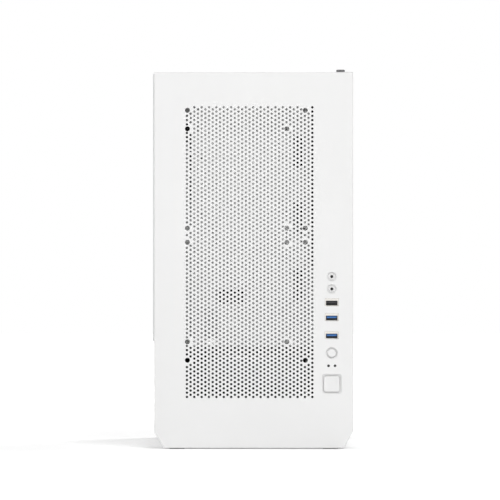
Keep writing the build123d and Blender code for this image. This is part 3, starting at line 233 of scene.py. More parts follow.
def facing(origin, x_dir, z_dir):
    """Matrix of a plane given by its origin, its first axis and its normal."""
    x = Vector(x_dir).normalized()
    z = Vector(z_dir).normalized()
    y = z.cross(x)
    return Matrix((
        (x.x, y.x, z.x, origin[0]),
        (x.y, y.y, z.y, origin[1]),
        (x.z, y.z, z.z, origin[2]),
        (0, 0, 0, 1),
    ))


def front_place(x=0.0, y=front_y, z=0.0):
    """Plane across the front, facing forwards."""
    return facing((x, y, z), (1, 0, 0), (0, -1, 0))


def front_rings(*steps):
    """Loops of the front, each at its depth behind the face."""
    return [[(x, front_y + depth, z) for x, z in loop] for loop, depth in steps]


def middle(node):
    low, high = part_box(node)
    return [(low[i] + high[i]) / 2 for i in range(3)]


# Materials

# Range in which most values of a noise lie
noise_low, noise_high = 0.3, 0.7

# Colour sockets of the Mix node, whose names repeat for each type of data
mix_first, mix_second, mix_result = 6, 7, 2


class Surface:
    """Principled material whose colour, roughness and bump come from its nodes."""

    def __init__(self, name, color, roughness, metallic=0.0, **sockets):
        self.material = bpy.data.materials.new(name)
        self.material.use_nodes = True
        self.nodes = self.material.node_tree.nodes
        self.links = self.material.node_tree.links
        self.shader = self.nodes["Principled BSDF"]
        self.shader.inputs["Base Color"].default_value = (*color, 1)
        self.shader.inputs["Roughness"].default_value = roughness
        self.shader.inputs["Metallic"].default_value = metallic
        for socket, value in sockets.items():
            self.shader.inputs[socket.replace("_", " ")].default_value = value
        self.where = self.nodes.new("ShaderNodeTexCoord").outputs["Object"]
        self.color = color
        self.roughness = roughness

    def noise(self, size, detail=3.0, stretch=(1, 1, 1)):
        """Noise whose features are about the given size in metres."""
        mapping = self.nodes.new("ShaderNodeMapping")
        mapping.inputs["Scale"].default_value = stretch
        self.links.new(self.where, mapping.inputs["Vector"])
        texture = self.nodes.new("ShaderNodeTexNoise")
        texture.inputs["Scale"].default_value = 1 / size
        texture.inputs["Detail"].default_value = detail
        self.links.new(mapping.outputs["Vector"], texture.inputs["Vector"])
        return texture.outputs["Fac"]

    def cells(self, size):
        """Distance from the edges of cells of about the given size."""
        texture = self.nodes.new("ShaderNodeTexVoronoi")
        texture.feature = "DISTANCE_TO_EDGE"
        texture.inputs["Scale"].default_value = 1 / size
        self.links.new(self.where, texture.inputs["Vector"])
        return texture.outputs["Distance"]

    def weave(self, size):
        """Squares of the given size, 0 and 1 in turn."""
        texture = self.nodes.new("ShaderNodeTexChecker")
        texture.inputs["Scale"].default_value = 1 / size
        self.links.new(self.where, texture.inputs["Vector"])
        return texture.outputs["Fac"]

    def spread(self, value, low, high, start=noise_low, end=noise_high):
        """Value mapped from start and end to low and high."""
        ramp = self.nodes.new("ShaderNodeMapRange")
        ramp.inputs["From Min"].default_value = start
        ramp.inputs["From Max"].default_value = end
        ramp.inputs["To Min"].default_value = low
        ramp.inputs["To Max"].default_value = high
        self.links.new(value, ramp.inputs["Value"])
        return ramp.outputs["Result"]

    def vary_roughness(self, value, amount):
        varied = self.spread(value, self.roughness - amount, self.roughness + amount)
        self.links.new(varied, self.shader.inputs["Roughness"])

    def vary_color(self, value, other, start=noise_low, end=noise_high):
        mix = self.nodes.new("ShaderNodeMix")
        mix.data_type = "RGBA"
        mix.inputs[mix_first].default_value = (*self.color, 1)
        mix.inputs[mix_second].default_value = (*other, 1)
        self.links.new(self.spread(value, 0, 1, start, end), mix.inputs["Factor"])
        self.links.new(mix.outputs[mix_result], self.shader.inputs["Base Color"])

    def bump(self, value, height):
        node = self.nodes.new("ShaderNodeBump")
        node.inputs["Strength"].default_value = 1.0
        node.inputs["Distance"].default_value = height
        self.links.new(value, node.inputs["Height"])
        self.links.new(node.outputs["Normal"], self.shader.inputs["Normal"])

    def follow(self, value, other, amount, height):
        """Colour, roughness and bump that all follow one value."""
        self.vary_color(value, other)
        self.vary_roughness(value, amount)
        self.bump(value, height)
        return self.material


def shade(color, factor):
    return tuple(min(1.0, c * factor) for c in color)


def powder_coat(name, color, roughness=0.5):
    """Sprayed and baked coat: fine orange peel and slightly uneven gloss."""
    surface = Surface(name, color, roughness)
    grain = surface.noise(size=0.7 * MM, detail=2.0)
    surface.vary_color(surface.noise(size=60 * MM), other=shade(color, factor=0.985))
    surface.vary_roughness(grain, amount=0.06)
    surface.bump(grain, height=0.01 * MM)
    return surface.material


def moulded(name, color, roughness=0.5, grain=0.35 * MM):
    """Injection moulding with a fine eroded texture."""
    surface = Surface(name, color, roughness)
    texture = surface.noise(grain)
    surface.vary_color(surface.noise(size=25 * MM), other=shade(color, factor=0.94))
    surface.vary_roughness(texture, amount=0.08)
    surface.bump(texture, height=0.012 * MM)
    return surface.material


def drawn_metal(name, color, roughness):
    """Bare metal with a fine directional grain."""
    surface = Surface(name, color, roughness, metallic=1.0)
    lines = surface.noise(size=0.8 * MM, detail=4.0, stretch=(1, 1, 12))
    return surface.follow(lines, shade(color, factor=0.88), amount=0.1, height=0.004 * MM)


def solder_mask():
    """Dark board: matt mask over faint tracks."""
    surface = Surface("solder_mask", color=(0.018, 0.022, 0.024), roughness=0.38)
    tracks = surface.cells(size=9 * MM)
    surface.vary_color(tracks, other=(0.035, 0.042, 0.044), start=0.02, end=0.05)
    surface.vary_roughness(surface.noise(size=4 * MM), amount=0.08)
    surface.bump(tracks, height=0.02 * MM)
    return surface.material


def net_cloth():
    """Fine woven net of the dust filter."""
    surface = Surface("filter_cloth", color=(0.05, 0.05, 0.052), roughness=0.8)
    weave = surface.weave(size=1.2 * MM)
    surface.vary_color(weave, other=(0.012, 0.012, 0.013), start=0.2, end=0.8)
    surface.bump(weave, height=0.1 * MM)
    return surface.material


def tinted_glass():
    """Smoked pane, darker with each surface that light crosses."""
    color = (0.77, 0.785, 0.785)
    surface = Surface("tinted_glass", color, roughness=0.02, IOR=1.25, Transmission_Weight=1.0)
    surface.vary_roughness(surface.noise(size=40 * MM), amount=0.015)
    return surface.material


def ground_edge():
    """Edge of the pane as the grinding wheel leaves it: pale, matt and finely scored."""
    color = (0.84, 0.85, 0.85)
    surface = Surface("ground_edge", color, roughness=0.55)
    scores = surface.noise(size=0.5 * MM, stretch=(1, 0.1, 0.1))
    return surface.follow(scores, shade(color, factor=0.95), amount=0.08, height=0.01 * MM)


def cast_metal():
    """Blasted casting of the drive: dull grey with coarse mottling."""
    color = (0.1, 0.1, 0.104)
    surface = Surface("cast_metal", color, roughness=0.62, metallic=0.35)
    mottle = surface.noise(size=2.5 * MM, detail=5.0)
    surface.vary_color(mottle, other=shade(color, factor=0.5))
    surface.vary_roughness(mottle, amount=0.12)
    surface.bump(surface.noise(size=0.4 * MM), height=0.03 * MM)
    return surface.material


def soft_rubber():
    surface = Surface("rubber_pad", color=(0.7, 0.7, 0.69), roughness=0.85)
    grain = surface.noise(size=0.5 * MM)
    return surface.follow(grain, other=(0.62, 0.62, 0.61), amount=0.08, height=0.05 * MM)


white = (0.865, 0.865, 0.862)
looks = {
    "white_steel": powder_coat("white_steel", white),
    "white_plastic": moulded("white_plastic", white, roughness=0.42),
    "black_plastic": moulded("black_plastic", (0.022, 0.022, 0.024)),
    "blue_plastic": moulded("blue_plastic", (0.035, 0.17, 0.5), roughness=0.4),
    "dark_lens": moulded("dark_lens", (0.006, 0.006, 0.006), roughness=0.6, grain=2 * MM),
    "circuit_board": solder_mask(),
    "bare_steel": drawn_metal("bare_steel", (0.76, 0.74, 0.7), roughness=0.32),
    "dark_screw": drawn_metal("dark_screw", (0.15, 0.15, 0.154), roughness=0.42),
    "tinted_glass": tinted_glass(),
    "rubber_pad": soft_rubber(),
    "filter_cloth": net_cloth(),
    "brass_pillar": drawn_metal("brass_pillar", (0.72, 0.53, 0.24), roughness=0.3),
    "bare_aluminium": drawn_metal("bare_aluminium", (0.76, 0.76, 0.75), roughness=0.36),
    "black_aluminium": powder_coat("black_aluminium", (0.03, 0.03, 0.032), roughness=0.4),
    "black_steel": powder_coat("black_steel", (0.022, 0.022, 0.023)),
}
zinc = drawn_metal("zinc_steel", (0.4, 0.41, 0.42), roughness=0.38)
zinc_nodes = ("port_shield", "rear_ports", "rear_screws", "board_screws", "drive_screws", "coin_cell")
for entry in frame["record"]["subparts"]:
    node = frame["nodes"][entry["node"]]
    node.data.materials.clear()
    node.data.materials.append(zinc if entry["node"] in zinc_nodes else looks[entry["material_slot"]])


# Front sheet: folded at the sides and the top, punched with the field and the openings

# Column of sockets and buttons
io_x = middle("power_button")[0]
power_z = middle("power_button")[2]
reset_z = middle("reset_button")[2]
led_z = middle("light_pipes")[2]
jack_low, jack_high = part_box("audio_jacks")
jack_body = 11.0 * MM
jack_places = [jack_high[2] - jack_body / 2, jack_low[2] + jack_body / 2]
usb_half = 2.9 * MM
usb3_low, usb3_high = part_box("usb3_shells")
usb2_place = middle("usb2_shell")[2]
usb_places = [usb2_place, usb3_high[2] - usb_half, usb3_low[2] + usb_half]
led_spacing = 6.9 * MM
led_radius = 1.45 * MM
led_sides = 20

# Openings
jack_hole = 4.75 * MM
jack_sides = 40
usb_hole_width = 14.9 * MM
usb_hole_height = 8.4 * MM
usb_hole_rise = 0.85 * MM
usb_corner = 0.7 * MM
reset_hole = 6.45 * MM
reset_sides = 48
power_hole = 21.2 * MM
power_corner = 2.9 * MM
power_opening = rounded_box(io_x, power_z, power_hole, power_hole, power_corner)
reset_opening = circle(io_x, reset_z, reset_hole, reset_sides)


def front_outline(inset):
    """Outline of the front, from the lower left corner across and round."""
    left, right = body_x - half_width, body_x + half_width
    loop = [
        (left + taper_inset, body_bottom),
        (right - taper_inset, body_bottom),
        (right, taper_top),
        (right, body_top),
        (left, body_top),
        (left, taper_top),
    ]
    return inset_loop(loop, inset)


def fan_hole_places():
    reach = fan_row_gap / 2
    near = [fan_middle_z + s * reach for s in (1, -1)]
    small = [fan_middle_z + s * (reach + small_fan_pitch) for s in (1, -1)]
    large = [fan_middle_z + s * (reach + large_fan_pitch) for s in (1, -1)]
    places = [(fan_column_x, z) for z in near + small + large]
    places += [(fan_column_x + small_fan_pitch, z) for z in near + small]
    places += [(fan_column_x + large_fan_pitch, z) for z in near + large]
    return places


def field_places(fan_holes):
    places = []
    for column in range(hole_columns):
        x = field_x + (column - (hole_columns - 1) / 2) * column_pitch
        rows = hole_rows - column % 2
        for row in range(rows):
            z = field_z + (row - (rows - 1) / 2) * hole_pitch
            if all(math.hypot(x - fx, z - fz) > fan_hole_clear for fx, fz in fan_holes):
                places.append((x, z))
    return places


def socket_openings(usb_fit=0.0):
    """Openings for the jacks, the rectangular sockets and the lights."""
    width, height = usb_hole_width + usb_fit, usb_hole_height + usb_fit
    holes = [circle(io_x, z, jack_hole, jack_sides) for z in jack_places]
    holes += [rounded_box(io_x, z + usb_hole_rise, width, height, usb_corner) for z in usb_places]
    holes += [circle(io_x + s * led_spacing / 2, led_z, led_radius, led_sides) for s in (-1, 1)]
    return holes


def front_sheet():
    fan_holes = fan_hole_places()
    holes = [circle(x, z, hole_radius, hole_sides) for x, z in field_places(fan_holes)]
    holes += [circle(x, z, fan_hole_radius, fan_hole_sides) for x, z in fan_holes]
    holes += socket_openings() + [reset_opening, power_opening]
    shape = Shape()
    add_punched(shape, front_outline(sheet), holes, front_place(), sheet, rim=False)
    bend = []
    for step in range(bend_steps + 1):
        a = QUARTER * step / bend_steps
        bend.append((front_outline(sheet * (1 - math.sin(a))), sheet * (1 - math.cos(a))))
    shape.rings(front_rings(*bend))
    outer, inner = front_outline(0), front_outline(sheet)
    outer, inner = [loop[1:] + loop[:1] for loop in (outer, inner)]
    strips = front_rings((outer, sheet), (outer, front_return), (inner, front_return), (inner, sheet))
    shape.rings(strips, closed=False)
    for end in (0, -1):
        shape.add([strip[end] for strip in strips], [[0, 1, 2, 3]])
    shape.add([strips[0][0], strips[0][-1], strips[3][-1], strips[3][0]], [[0, 1, 2, 3]])
    new_piece("punched_front", shape, "white_steel", ("front_panel", "front_mesh"), smooth_angle=35)


front_sheet()


# Sockets and buttons in the openings of the sheet

# Holder and its collars
power_throat = 17.3 * MM
reset_throat = 4.75 * MM
bezel_edge = 0.1 * MM
bezel_depth = 2.4 * MM
holder_plate = 2.0 * MM
holder_wall = 1.5 * MM
collar_fit = 0.3 * MM

# Jacks: radius and depth in mm along the turned profile, from the mouth of the bore to the flange
jack_profile = (
    (1.55, 0.9), (2.1, 0.25), (2.7, 0.25), (3.0, 0.4), (3.15, 0.75), (3.2, 1.7), (4.5, 1.7), (4.5, 3.2),
    (5.5, 3.2),
)
lining_outer = 1.54 * MM
lining_inner = 1.4 * MM
lining_mouth = 0.95 * MM
lining_sides = 32
stop_radius = 1.45 * MM
stop_front = 6.0 * MM
stop_back = 6.4 * MM

# Rectangular sockets
usb_bore_width = 12.2 * MM
usb_bore_height = 5.0 * MM
usb_bore_corner = 0.5 * MM
tongue_width = 10.6 * MM
tongue_rise = 0.75 * MM
tongue_half = 0.95 * MM
tongue_recess = 1.6 * MM
tongue_edge = 0.35 * MM
back_recess = 9.0 * MM
lip_fit = 0.2 * MM
lip_edge = 0.1 * MM
lip_depth = 0.95 * MM
shell_sheet = 0.3 * MM

# Lights: share of the radius and depth in mm along the domed end
lens_profile = ((0.3, 0.2), (0.7, 0.24), (1.0, 0.4))
lens_fit = 0.02 * MM
lens_sides = 24

# Buttons
power_size = 16.6 * MM
power_face_corner = 2.4 * MM
power_stem = 2.5 * MM
stem_sides = 6
reset_radius = 4.4 * MM
reset_stem = 1.5 * MM
reset_dish = 0.12 * MM
dish_shares = (0.1, 0.3, 0.5, 0.72)
button_round = 0.75 * MM
button_steps = 4
button_lip_depth = 3.1 * MM
button_lip = 1.2 * MM


def socket_holder():
    """Plate behind the sheet, its side walls, and sloped collars that lead down to the buttons."""
    low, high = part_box("io_holder")
    back = holder_plate + sheet
    collars = (
        (power_opening, rounded_box(io_x, power_z, power_throat, power_throat, power_corner)),
        (reset_opening, circle(io_x, reset_z, reset_throat, reset_sides)),
    )
    holes = [power_opening, reset_opening] + socket_openings(collar_fit)
    outline = [(low[0], low[2]), (high[0], low[2]), (high[0], high[2]), (low[0], high[2])]
    shape = Shape()
    add_punched(shape, outline, holes, front_place(y=front_y + sheet), holder_plate)
    for outer, inner in collars:
        shape.tube(front_rings((outer, bezel_edge), (inner, bezel_depth), (inner, back), (outer, back)))
    inner = inset_loop(outline, holder_wall)
    end = high[1] - front_y
    shape.tube(front_rings((outline, back), (outline, end), (inner, end), (inner, back)))
    new_piece("socket_holder", shape, "white_plastic", ("io_holder",))


def jack_bushes():
    """Two round sockets: a boss with a rounded lip in a shallow annulus, and a dark bore."""
    bushes, linings = Shape(), Shape()
    depth = jack_high[1] - front_y
    profile = [(r * MM, -d * MM) for r, d in jack_profile]
    profile = [(profile[0][0], -depth + sheet)] + profile + [(profile[-1][0], -depth)]
    lining_end = -depth + 1.5 * sheet
    lining = [
        (lining_outer, -lining_mouth), (lining_outer, lining_end),
        (lining_inner, lining_end), (lining_inner, -lining_mouth),
    ]
    stop = [(stop_radius, -stop_front), (stop_radius, -stop_back)]
    for z in jack_places:
        place = front_place(io_x, front_y, z)
        bushes.lathe(profile, place, jack_sides, capped=True)
        linings.lathe(lining + lining[:1], place, lining_sides)
        linings.lathe(stop, place, lining_sides, capped=True)
    new_piece("jack_bushes", bushes, "white_plastic", ("audio_jacks",))
    new_piece("jack_linings", linings, "black_plastic")


def socket_shells(name, places, node):
    """Drawn shells of rectangular sockets with lips flared out to the sheet."""
    shape = Shape()
    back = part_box(node)[1][1] - front_y
    width, height = usb_hole_width - lip_fit, usb_hole_height - lip_fit
    for z in places:
        mouth = rounded_box(io_x, z + usb_hole_rise, width, height, usb_corner)
        throat = rounded_box(io_x, z, usb_bore_width, usb_bore_height, usb_bore_corner)
        outside = inset_loop(throat, -shell_sheet)
        shape.tube(front_rings(
            (mouth, lip_edge), (throat, lip_depth), (throat, back), (outside, back),
            (outside, lip_depth + shell_sheet), (inset_loop(mouth, -lip_fit / 4), lip_edge + shell_sheet),
        ))
    new_piece(name, shape, "bare_steel", (node,), smooth_angle=25)


def socket_tongues(name, places, node, slot):
    """Moulded tongues with cut-back front edges, each in the block that closes its shell; below the tongue
    that block is black plastic, which in the blue sockets is painted shade under the tongue.
    """
    tongues, black_and_painted_shade_backs = Shape(), Shape()
    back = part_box(node)[1][1] - front_y
    width, height = usb_bore_width - 2 * lip_edge, usb_bore_height - 2 * lip_edge
    for z in places:
        full = rounded_box(io_x, z + tongue_rise, tongue_width, 2 * tongue_half, tongue_edge / 2, 1)
        tip = inset_loop(full, tongue_edge)
        steps = ((tip, tongue_recess), (full, tongue_recess + 2 * tongue_edge), (full, back))
        tongues.rings(front_rings(*steps), capped=True)
        # Upper part of the closing block in the tongue's plastic; the lower part is black, painted shade
        # below the blue tongues and the real colour in the black socket
        low, top, split = z - height / 2, z + height / 2, z + tongue_rise + tongue_half
        for store, z0, z1 in ((tongues, split, top), (black_and_painted_shade_backs, low, split - 2 * tongue_half)):
            loop = rounded_box(io_x, (z0 + z1) / 2, width, z1 - z0, lip_edge, 1)
            store.rings(front_rings((loop, back_recess), (loop, back)), capped=True)
    new_piece(name, tongues, slot, (node,))
    new_piece(name + "_backs", black_and_painted_shade_backs, "black_plastic")


def light_lenses():
    """Domed ends of the two light pipes, flush in the sheet."""
    shape = Shape()
    radius = led_radius - lens_fit
    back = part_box("light_pipes")[1][1] - front_y
    profile = [(share * radius, -depth * MM) for share, depth in lens_profile] + [(radius, -back)]
    for s in (-1, 1):
        place = front_place(io_x + s * led_spacing / 2, front_y, led_z)
        shape.lathe(profile, place, lens_sides, capped=True)
    new_piece("light_lenses", shape, "dark_lens", ("light_pipes",))


def button_edge():
    """Inset and depth along the rounded edge of a button."""
    angles = [QUARTER * step / button_steps for step in range(button_steps + 1)]
    return [(button_round * (1 - math.sin(a)), button_round * (1 - math.cos(a))) for a in angles]


def power_cap():
    """Square button with rounded edges, its lip behind the holder and its stem."""
    low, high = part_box("power_button")
    face, lip = low[1] - front_y, button_lip_depth
    steps = []
    for inset, depth in button_edge():
        size = power_size - 2 * inset
        steps.append((rounded_box(io_x, power_z, size, size, power_face_corner - inset), face + depth))
    wall = rounded_box(io_x, power_z, power_size, power_size, power_face_corner)
    flange = rounded_box(io_x, power_z, high[0] - low[0], high[0] - low[0], button_round)
    steps += [(wall, lip), (flange, lip), (flange, lip + button_lip)]
    shape = Shape()
    shape.rings(front_rings(*steps), capped=True)
    place = front_place(io_x, front_y + lip + button_lip, power_z)
    stem_length = high[1] - front_y - lip - button_lip
    shape.lathe([(power_stem, 0), (power_stem, -stem_length)], place, stem_sides, capped=True)
    new_piece("power_cap", shape, "white_plastic", ("power_button",), "power_button")


def reset_cap():
    """Round button with a rounded rim and a slightly dished face."""
    low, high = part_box("reset_button")
    face, lip = low[1] - front_y, button_lip_depth
    dish = []
    for share in dish_shares:
        depth = reset_dish * (1 - (share / dish_shares[-1]) ** 2)
        dish.append((reset_radius * share, -face - depth))
    rim = [(reset_radius - inset, -face - depth) for inset, depth in button_edge()]
    flange = (high[0] - low[0]) / 2
    lip_back, back = -lip - button_lip, -(high[1] - front_y)
    profile = dish + rim + [
        (reset_radius, -lip), (flange, -lip), (flange, lip_back), (reset_stem, lip_back), (reset_stem, back),
    ]
    shape = Shape()
    shape.lathe(profile, front_place(io_x, front_y, reset_z), reset_sides, capped=True)
    new_piece("reset_cap", shape, "white_plastic", ("reset_button",), "reset_button")


socket_holder()
jack_bushes()
socket_shells("upper_socket_shell", usb_places[:1], "usb2_shell")
socket_shells("lower_socket_shells", usb_places[1:], "usb3_shells")
socket_tongues("upper_tongue", usb_places[:1], "usb2_tongue", "black_plastic")
socket_tongues("lower_tongues", usb_places[1:], "usb3_tongues", "blue_plastic")
light_lenses()
power_cap()
reset_cap()


# Thumbscrew on the roof

thumb_height = 3.4 * MM
thumb_recess = 2.2 * MM
recess_floor = 1.5 * MM
recess_depth = 1.2 * MM
knurl_count = 30
knurl_depth = 0.22 * MM
thread_pitch = 0.7 * MM
thread_crest = 1.75 * MM
thread_root = 1.5 * MM
thread_tip = 1.4 * MM
thread_sides = 24


def thumbscrew():
    """Knurled head with a tapered recess, and its threaded shank."""
    low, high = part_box("roof_thumbscrew")
    x, y, _ = middle("roof_thumbscrew")
    radius = (high[0] - low[0]) / 2
    top, base = high[2], high[2] - thumb_height
    steps = [
        (radius - 0.5 * MM, base, 0), (radius, base + 0.35 * MM, 1), (radius, top - 0.5 * MM, 1),
        (radius - 0.4 * MM, top - 0.1 * MM, 0), (radius - 0.7 * MM, top, 0), (thumb_recess, top, 0),
        (recess_floor, top - recess_depth, 0),
    ]
    rings = []
    for r, z, knurled in steps:
        ring = []
        for i, a in enumerate(turn(knurl_count * 2)):
            reach = r - knurled * knurl_depth * (i % 2)
            ring.append((x + reach * math.cos(a), y + reach * math.sin(a), z))
        rings.append(ring)
    shape = Shape()
    shape.rings(rings, capped=True)
    thread = [(thread_crest, base)]
    for i in range(int((base - low[2]) / thread_pitch)):
        z = base - i * thread_pitch
        thread += [(thread_crest, z - 0.3 * thread_pitch), (thread_root, z - 0.8 * thread_pitch)]
    thread.append((thread_tip, low[2]))
    shape.lathe(thread, Matrix.Translation((x, y, 0)), thread_sides, capped=True)
    new_piece("thumbscrew", shape, "dark_screw", ("roof_thumbscrew",), "roof_thumbscrew", smooth_angle=25)


thumbscrew()


# Fans: each stands on a plane at its motor side, facing its open side

fan_size = 120.0 * MM
fan_depth = 25.0 * MM
fan_corner = 7.0 * MM
fan_corner_steps = 8
fan_bore = 57.5 * MM
fan_flange = 4.0 * MM
fan_screw = 2.2 * MM
fan_screw_sides = 20
duct_wall = 1.7 * MM
duct_sides = 72

# Motor disc and its struts, with inset and height in mm along the edge of the disc
disc_edge = ((1.2, 0.0), (0.3, 0.3), (0.0, 1.2))
strut_depth = 3.0 * MM
strut_half = 2.0 * MM
strut_taper = 0.6
strut_lap = 1.0 * MM
strut_sweep = math.radians(16)
strut_steps = 6

# Hub, with inset and drop in mm along its outer edge
fan_hub = 20.0 * MM
hub_start = 4.0 * MM
hub_end = 22.5 * MM
hub_bevel = 0.6 * MM
hub_edge = ((0.0, 1.6), (0.5, 0.5), (1.6, 0.0), (4.0, 0.0), (4.4, 0.4))
hub_middle = 2.0 * MM
hub_sides = 48
axle = 1.5 * MM
axle_lap = 2.0 * MM

# Blades: rise and pitch in degrees as numbers of a curve that runs from root to tip
fan_tip = 52.0 * MM
blade_count = 7
blade_stations = 7
chord_steps = 8
blade_lap = 0.8 * MM
blade_clear = 1.5 * MM
blade_rise = (0.86, 0.14)
blade_pitch = (40, -28, 8)
blade_sweep = math.radians(20)
blade_camber = 0.08
blade_half = 0.85 * MM
blade_thinning = 0.7

# Processor cooler: round duct with arms and push pins, radius and height in mm along the head of a pin
cooler_bore = 45.0 * MM
cooler_wall = 2.0 * MM
mouth_flare = 0.6 * MM
mouth_depth = 0.8 * MM
rim_inset = 0.4 * MM
rim_drop = 0.6 * MM
arm_half = 3.0 * MM
arm_height = 4.0 * MM
post_square = 75.0 * MM
post_length = 41.0 * MM
pin_profile = ((2.2, -6.0), (3.5, -6.0), (3.5, 3.2), (2.9, 4.0), (1.2, 4.0), (1.0, 3.2))
pin_sides = 24


def add_spider(shape, place, bore):
    """Four swept struts and the motor's disc."""
    disc = [(fan_hub - inset * MM, height * MM) for inset, height in disc_edge]
    shape.lathe(disc + [(fan_hub, strut_depth)], place, hub_sides, capped=True)
    up = Vector((0, 0, strut_depth))
    for start in turn(4, math.pi / 4):
        rings = []
        for step in range(strut_steps + 1):
            r = fan_hub - strut_lap + (bore + strut_lap - fan_hub + strut_lap) * step / strut_steps
            a = start + strut_sweep * (step / strut_steps - 1)
            along = Vector((-math.sin(a), math.cos(a), 0)) * strut_half
            core = Vector((r * math.cos(a), r * math.sin(a), 0))
            corners = (
                core - along, core + along, core + along * strut_taper + up, core - along * strut_taper + up
            )
            rings.append([place @ corner for corner in corners])
        shape.rings(rings, capped=True)


def fan_housing(name, place, node):
    """Square frame: two flanges with screw holes on a round duct, and the struts of the motor."""
    shape = Shape()
    outline = rounded_box(0, 0, fan_size, fan_size, fan_corner, fan_corner_steps)
    reach = small_fan_pitch / 2
    holes = [circle(0, 0, fan_bore, duct_sides)]
    for sx in (-1, 1):
        holes += [circle(sx * reach, sy * reach, fan_screw, fan_screw_sides) for sy in (-1, 1)]
    for height in (fan_flange, fan_depth):
        add_punched(shape, outline, holes, place @ Matrix.Translation((0, 0, height)), fan_flange)
    outer, end = fan_bore + duct_wall, fan_depth - fan_flange
    duct = [(fan_bore, fan_flange), (fan_bore, end), (outer, end), (outer, fan_flange)]
    shape.lathe(duct + duct[:1], place, duct_sides)
    add_spider(shape, place, fan_bore)
    new_piece(name, shape, "black_plastic", (node,))


def cooler_ring(name, place, node):
    """Round duct of the processor cooler's fan, on four posts with push pins."""
    shape = Shape()
    outer = cooler_bore + cooler_wall
    duct = [
        (cooler_bore, 0), (cooler_bore, fan_depth - mouth_depth), (cooler_bore + mouth_flare, fan_depth),
        (outer - rim_inset, fan_depth), (outer, fan_depth - rim_drop), (outer, 0),
    ]
    shape.lathe(duct + duct[:1], place, duct_sides)
    add_spider(shape, place, cooler_bore)
    far = post_square / math.sqrt(2)
    section = ((-arm_half, 0), (arm_half, 0), (arm_half, arm_height), (-arm_half, arm_height))
    pin = [(r * MM, h * MM) for r, h in pin_profile]
    pin.insert(0, (pin[0][0], -post_length))
    for a in turn(4, math.pi / 4):
        arm = place @ Matrix.Rotation(a, 4, "Z")
        ends = (cooler_bore + strut_lap, far)
        shape.rings([[arm @ Vector((r, side, h)) for side, h in section] for r in ends], capped=True)
        shape.lathe(pin, arm @ Matrix.Translation((far, 0, 0)), pin_sides, capped=True)
    new_piece(name, shape, "black_plastic", (node,))


def fan_wheel(name, place, rotor, tip):
    """Hub with curved, twisted blades, of a rotor that is both a node and a body."""
    shape = Shape()
    base = [
        (axle, strut_depth - axle_lap), (axle, hub_start), (fan_hub - hub_bevel, hub_start),
        (fan_hub, hub_start + hub_bevel),
    ]
    top = [(fan_hub - inset * MM, hub_end - drop * MM) for inset, drop in hub_edge]
    shape.lathe(base + top + [(hub_middle, top[-1][1])], place, hub_sides, capped=True)
    middle_height = (hub_start + hub_end) / 2
    along = [i / chord_steps - 0.5 for i in range(chord_steps + 1)]
    for start in turn(blade_count):
        rings = []
        for station in range(blade_stations + 1):
            u = station / blade_stations
            r = fan_hub - blade_lap + (tip - fan_hub + blade_lap) * u
            rise = (hub_end - hub_start - blade_clear) * (blade_rise[0] + blade_rise[1] * u)
            pitch = math.radians(blade_pitch[0] + blade_pitch[1] * u + blade_pitch[2] * u * u)
            chord = rise / math.sin(pitch)
            upper, lower = [], []
            for s in along:
                camber = blade_camber * chord * (1 - 4 * s * s)
                thick = blade_half * (1 - blade_thinning * (2 * s) ** 2)
                for side, store in ((1, upper), (-1, lower)):
                    off = camber + side * thick
                    swing = s * chord * math.cos(pitch) - off * math.sin(pitch)
                    height = middle_height + s * rise + off * math.cos(pitch)
                    a = start + blade_sweep * u * u + swing / r
                    store.append(place @ Vector((r * math.cos(a), r * math.sin(a), height)))
            rings.append(upper + lower[::-1])
        shape.rings(rings, capped=True)
    new_piece(name, shape, "black_plastic", (rotor,), rotor)


def fan_place(frame_node, x_dir, z_dir):
    """Plane on the motor side of a fan frame, facing its open side."""
    low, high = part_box(frame_node)
    origin = middle(frame_node)
    for i in range(3):
        if z_dir[i]:
            origin[i] = low[i] if z_dir[i] > 0 else high[i]
    return facing(origin, x_dir, z_dir)


rear_fan_place = fan_place("rear_fan_frame", (1, 0, 0), (0, -1, 0))
fan_housing("rear_fan_housing", rear_fan_place, "rear_fan_frame")
fan_wheel("rear_fan_wheel", rear_fan_place, "rear_fan_rotor", fan_tip)
psu_fan_place = fan_place("psu_fan_frame", (1, 0, 0), (0, 0, -1))
fan_housing("psu_fan_housing", psu_fan_place, "psu_fan_frame")
fan_wheel("psu_fan_wheel", psu_fan_place, "psu_fan_rotor", fan_tip)
cooler_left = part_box("cooler_fan_frame")[0][0]
_, cooler_y, cooler_z = middle("cooler_fan_frame")
cooler_place = facing((cooler_left + fan_depth, cooler_y, cooler_z), (0, 1, 0), (-1, 0, 0))
cooler_ring("cooler_ring", cooler_place, "cooler_fan_frame")
fan_wheel("cooler_fan_wheel", cooler_place, "cooler_fan_rotor", cooler_bore - fan_bore + fan_tip)


# Side glass: a pane with ground edges

pane_arris = 0.5 * MM
pane_corner = 2.0 * MM
flat_normal = 0.9


def side_glass():
    low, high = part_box("glass_panel")
    _, y, z = middle("glass_panel")
    loop = rounded_box(y, z, high[1] - low[1], high[2] - low[2], pane_corner)
    small, x0, x1 = inset_loop(loop, pane_arris), low[0], high[0]
    steps = ((small, x0), (loop, x0 + pane_arris), (loop, x1 - pane_arris), (small, x1))
    shape = Shape()
    shape.rings([[(x, y, z) for y, z in outline] for outline, x in steps], capped=True)
    pane = new_piece("side_glass", shape, "tinted_glass", ("glass_panel",), "glass_side", smooth_angle=20)
    pane.data.materials.append(ground_edge())
    for face in pane.data.polygons:
        face.material_index = 0 if abs(face.normal.x) > flat_normal else 1


side_glass()


# Hard drive: a casting with round corners, a cover plate and its board below

drive_corner = 3.0 * MM
drive_corner_steps = 3
drive_edge = 0.4 * MM
drive_wall = 1.6 * MM
drive_skirt = 3.4 * MM
cover_step = 1.2 * MM
cover_inset = 4.0 * MM
cover_corner = 6.0 * MM
cover_edge = 0.6 * MM
drive_board_inset = 3.0 * MM
drive_board_low = 0.4 * MM
drive_board_high = 2.0 * MM


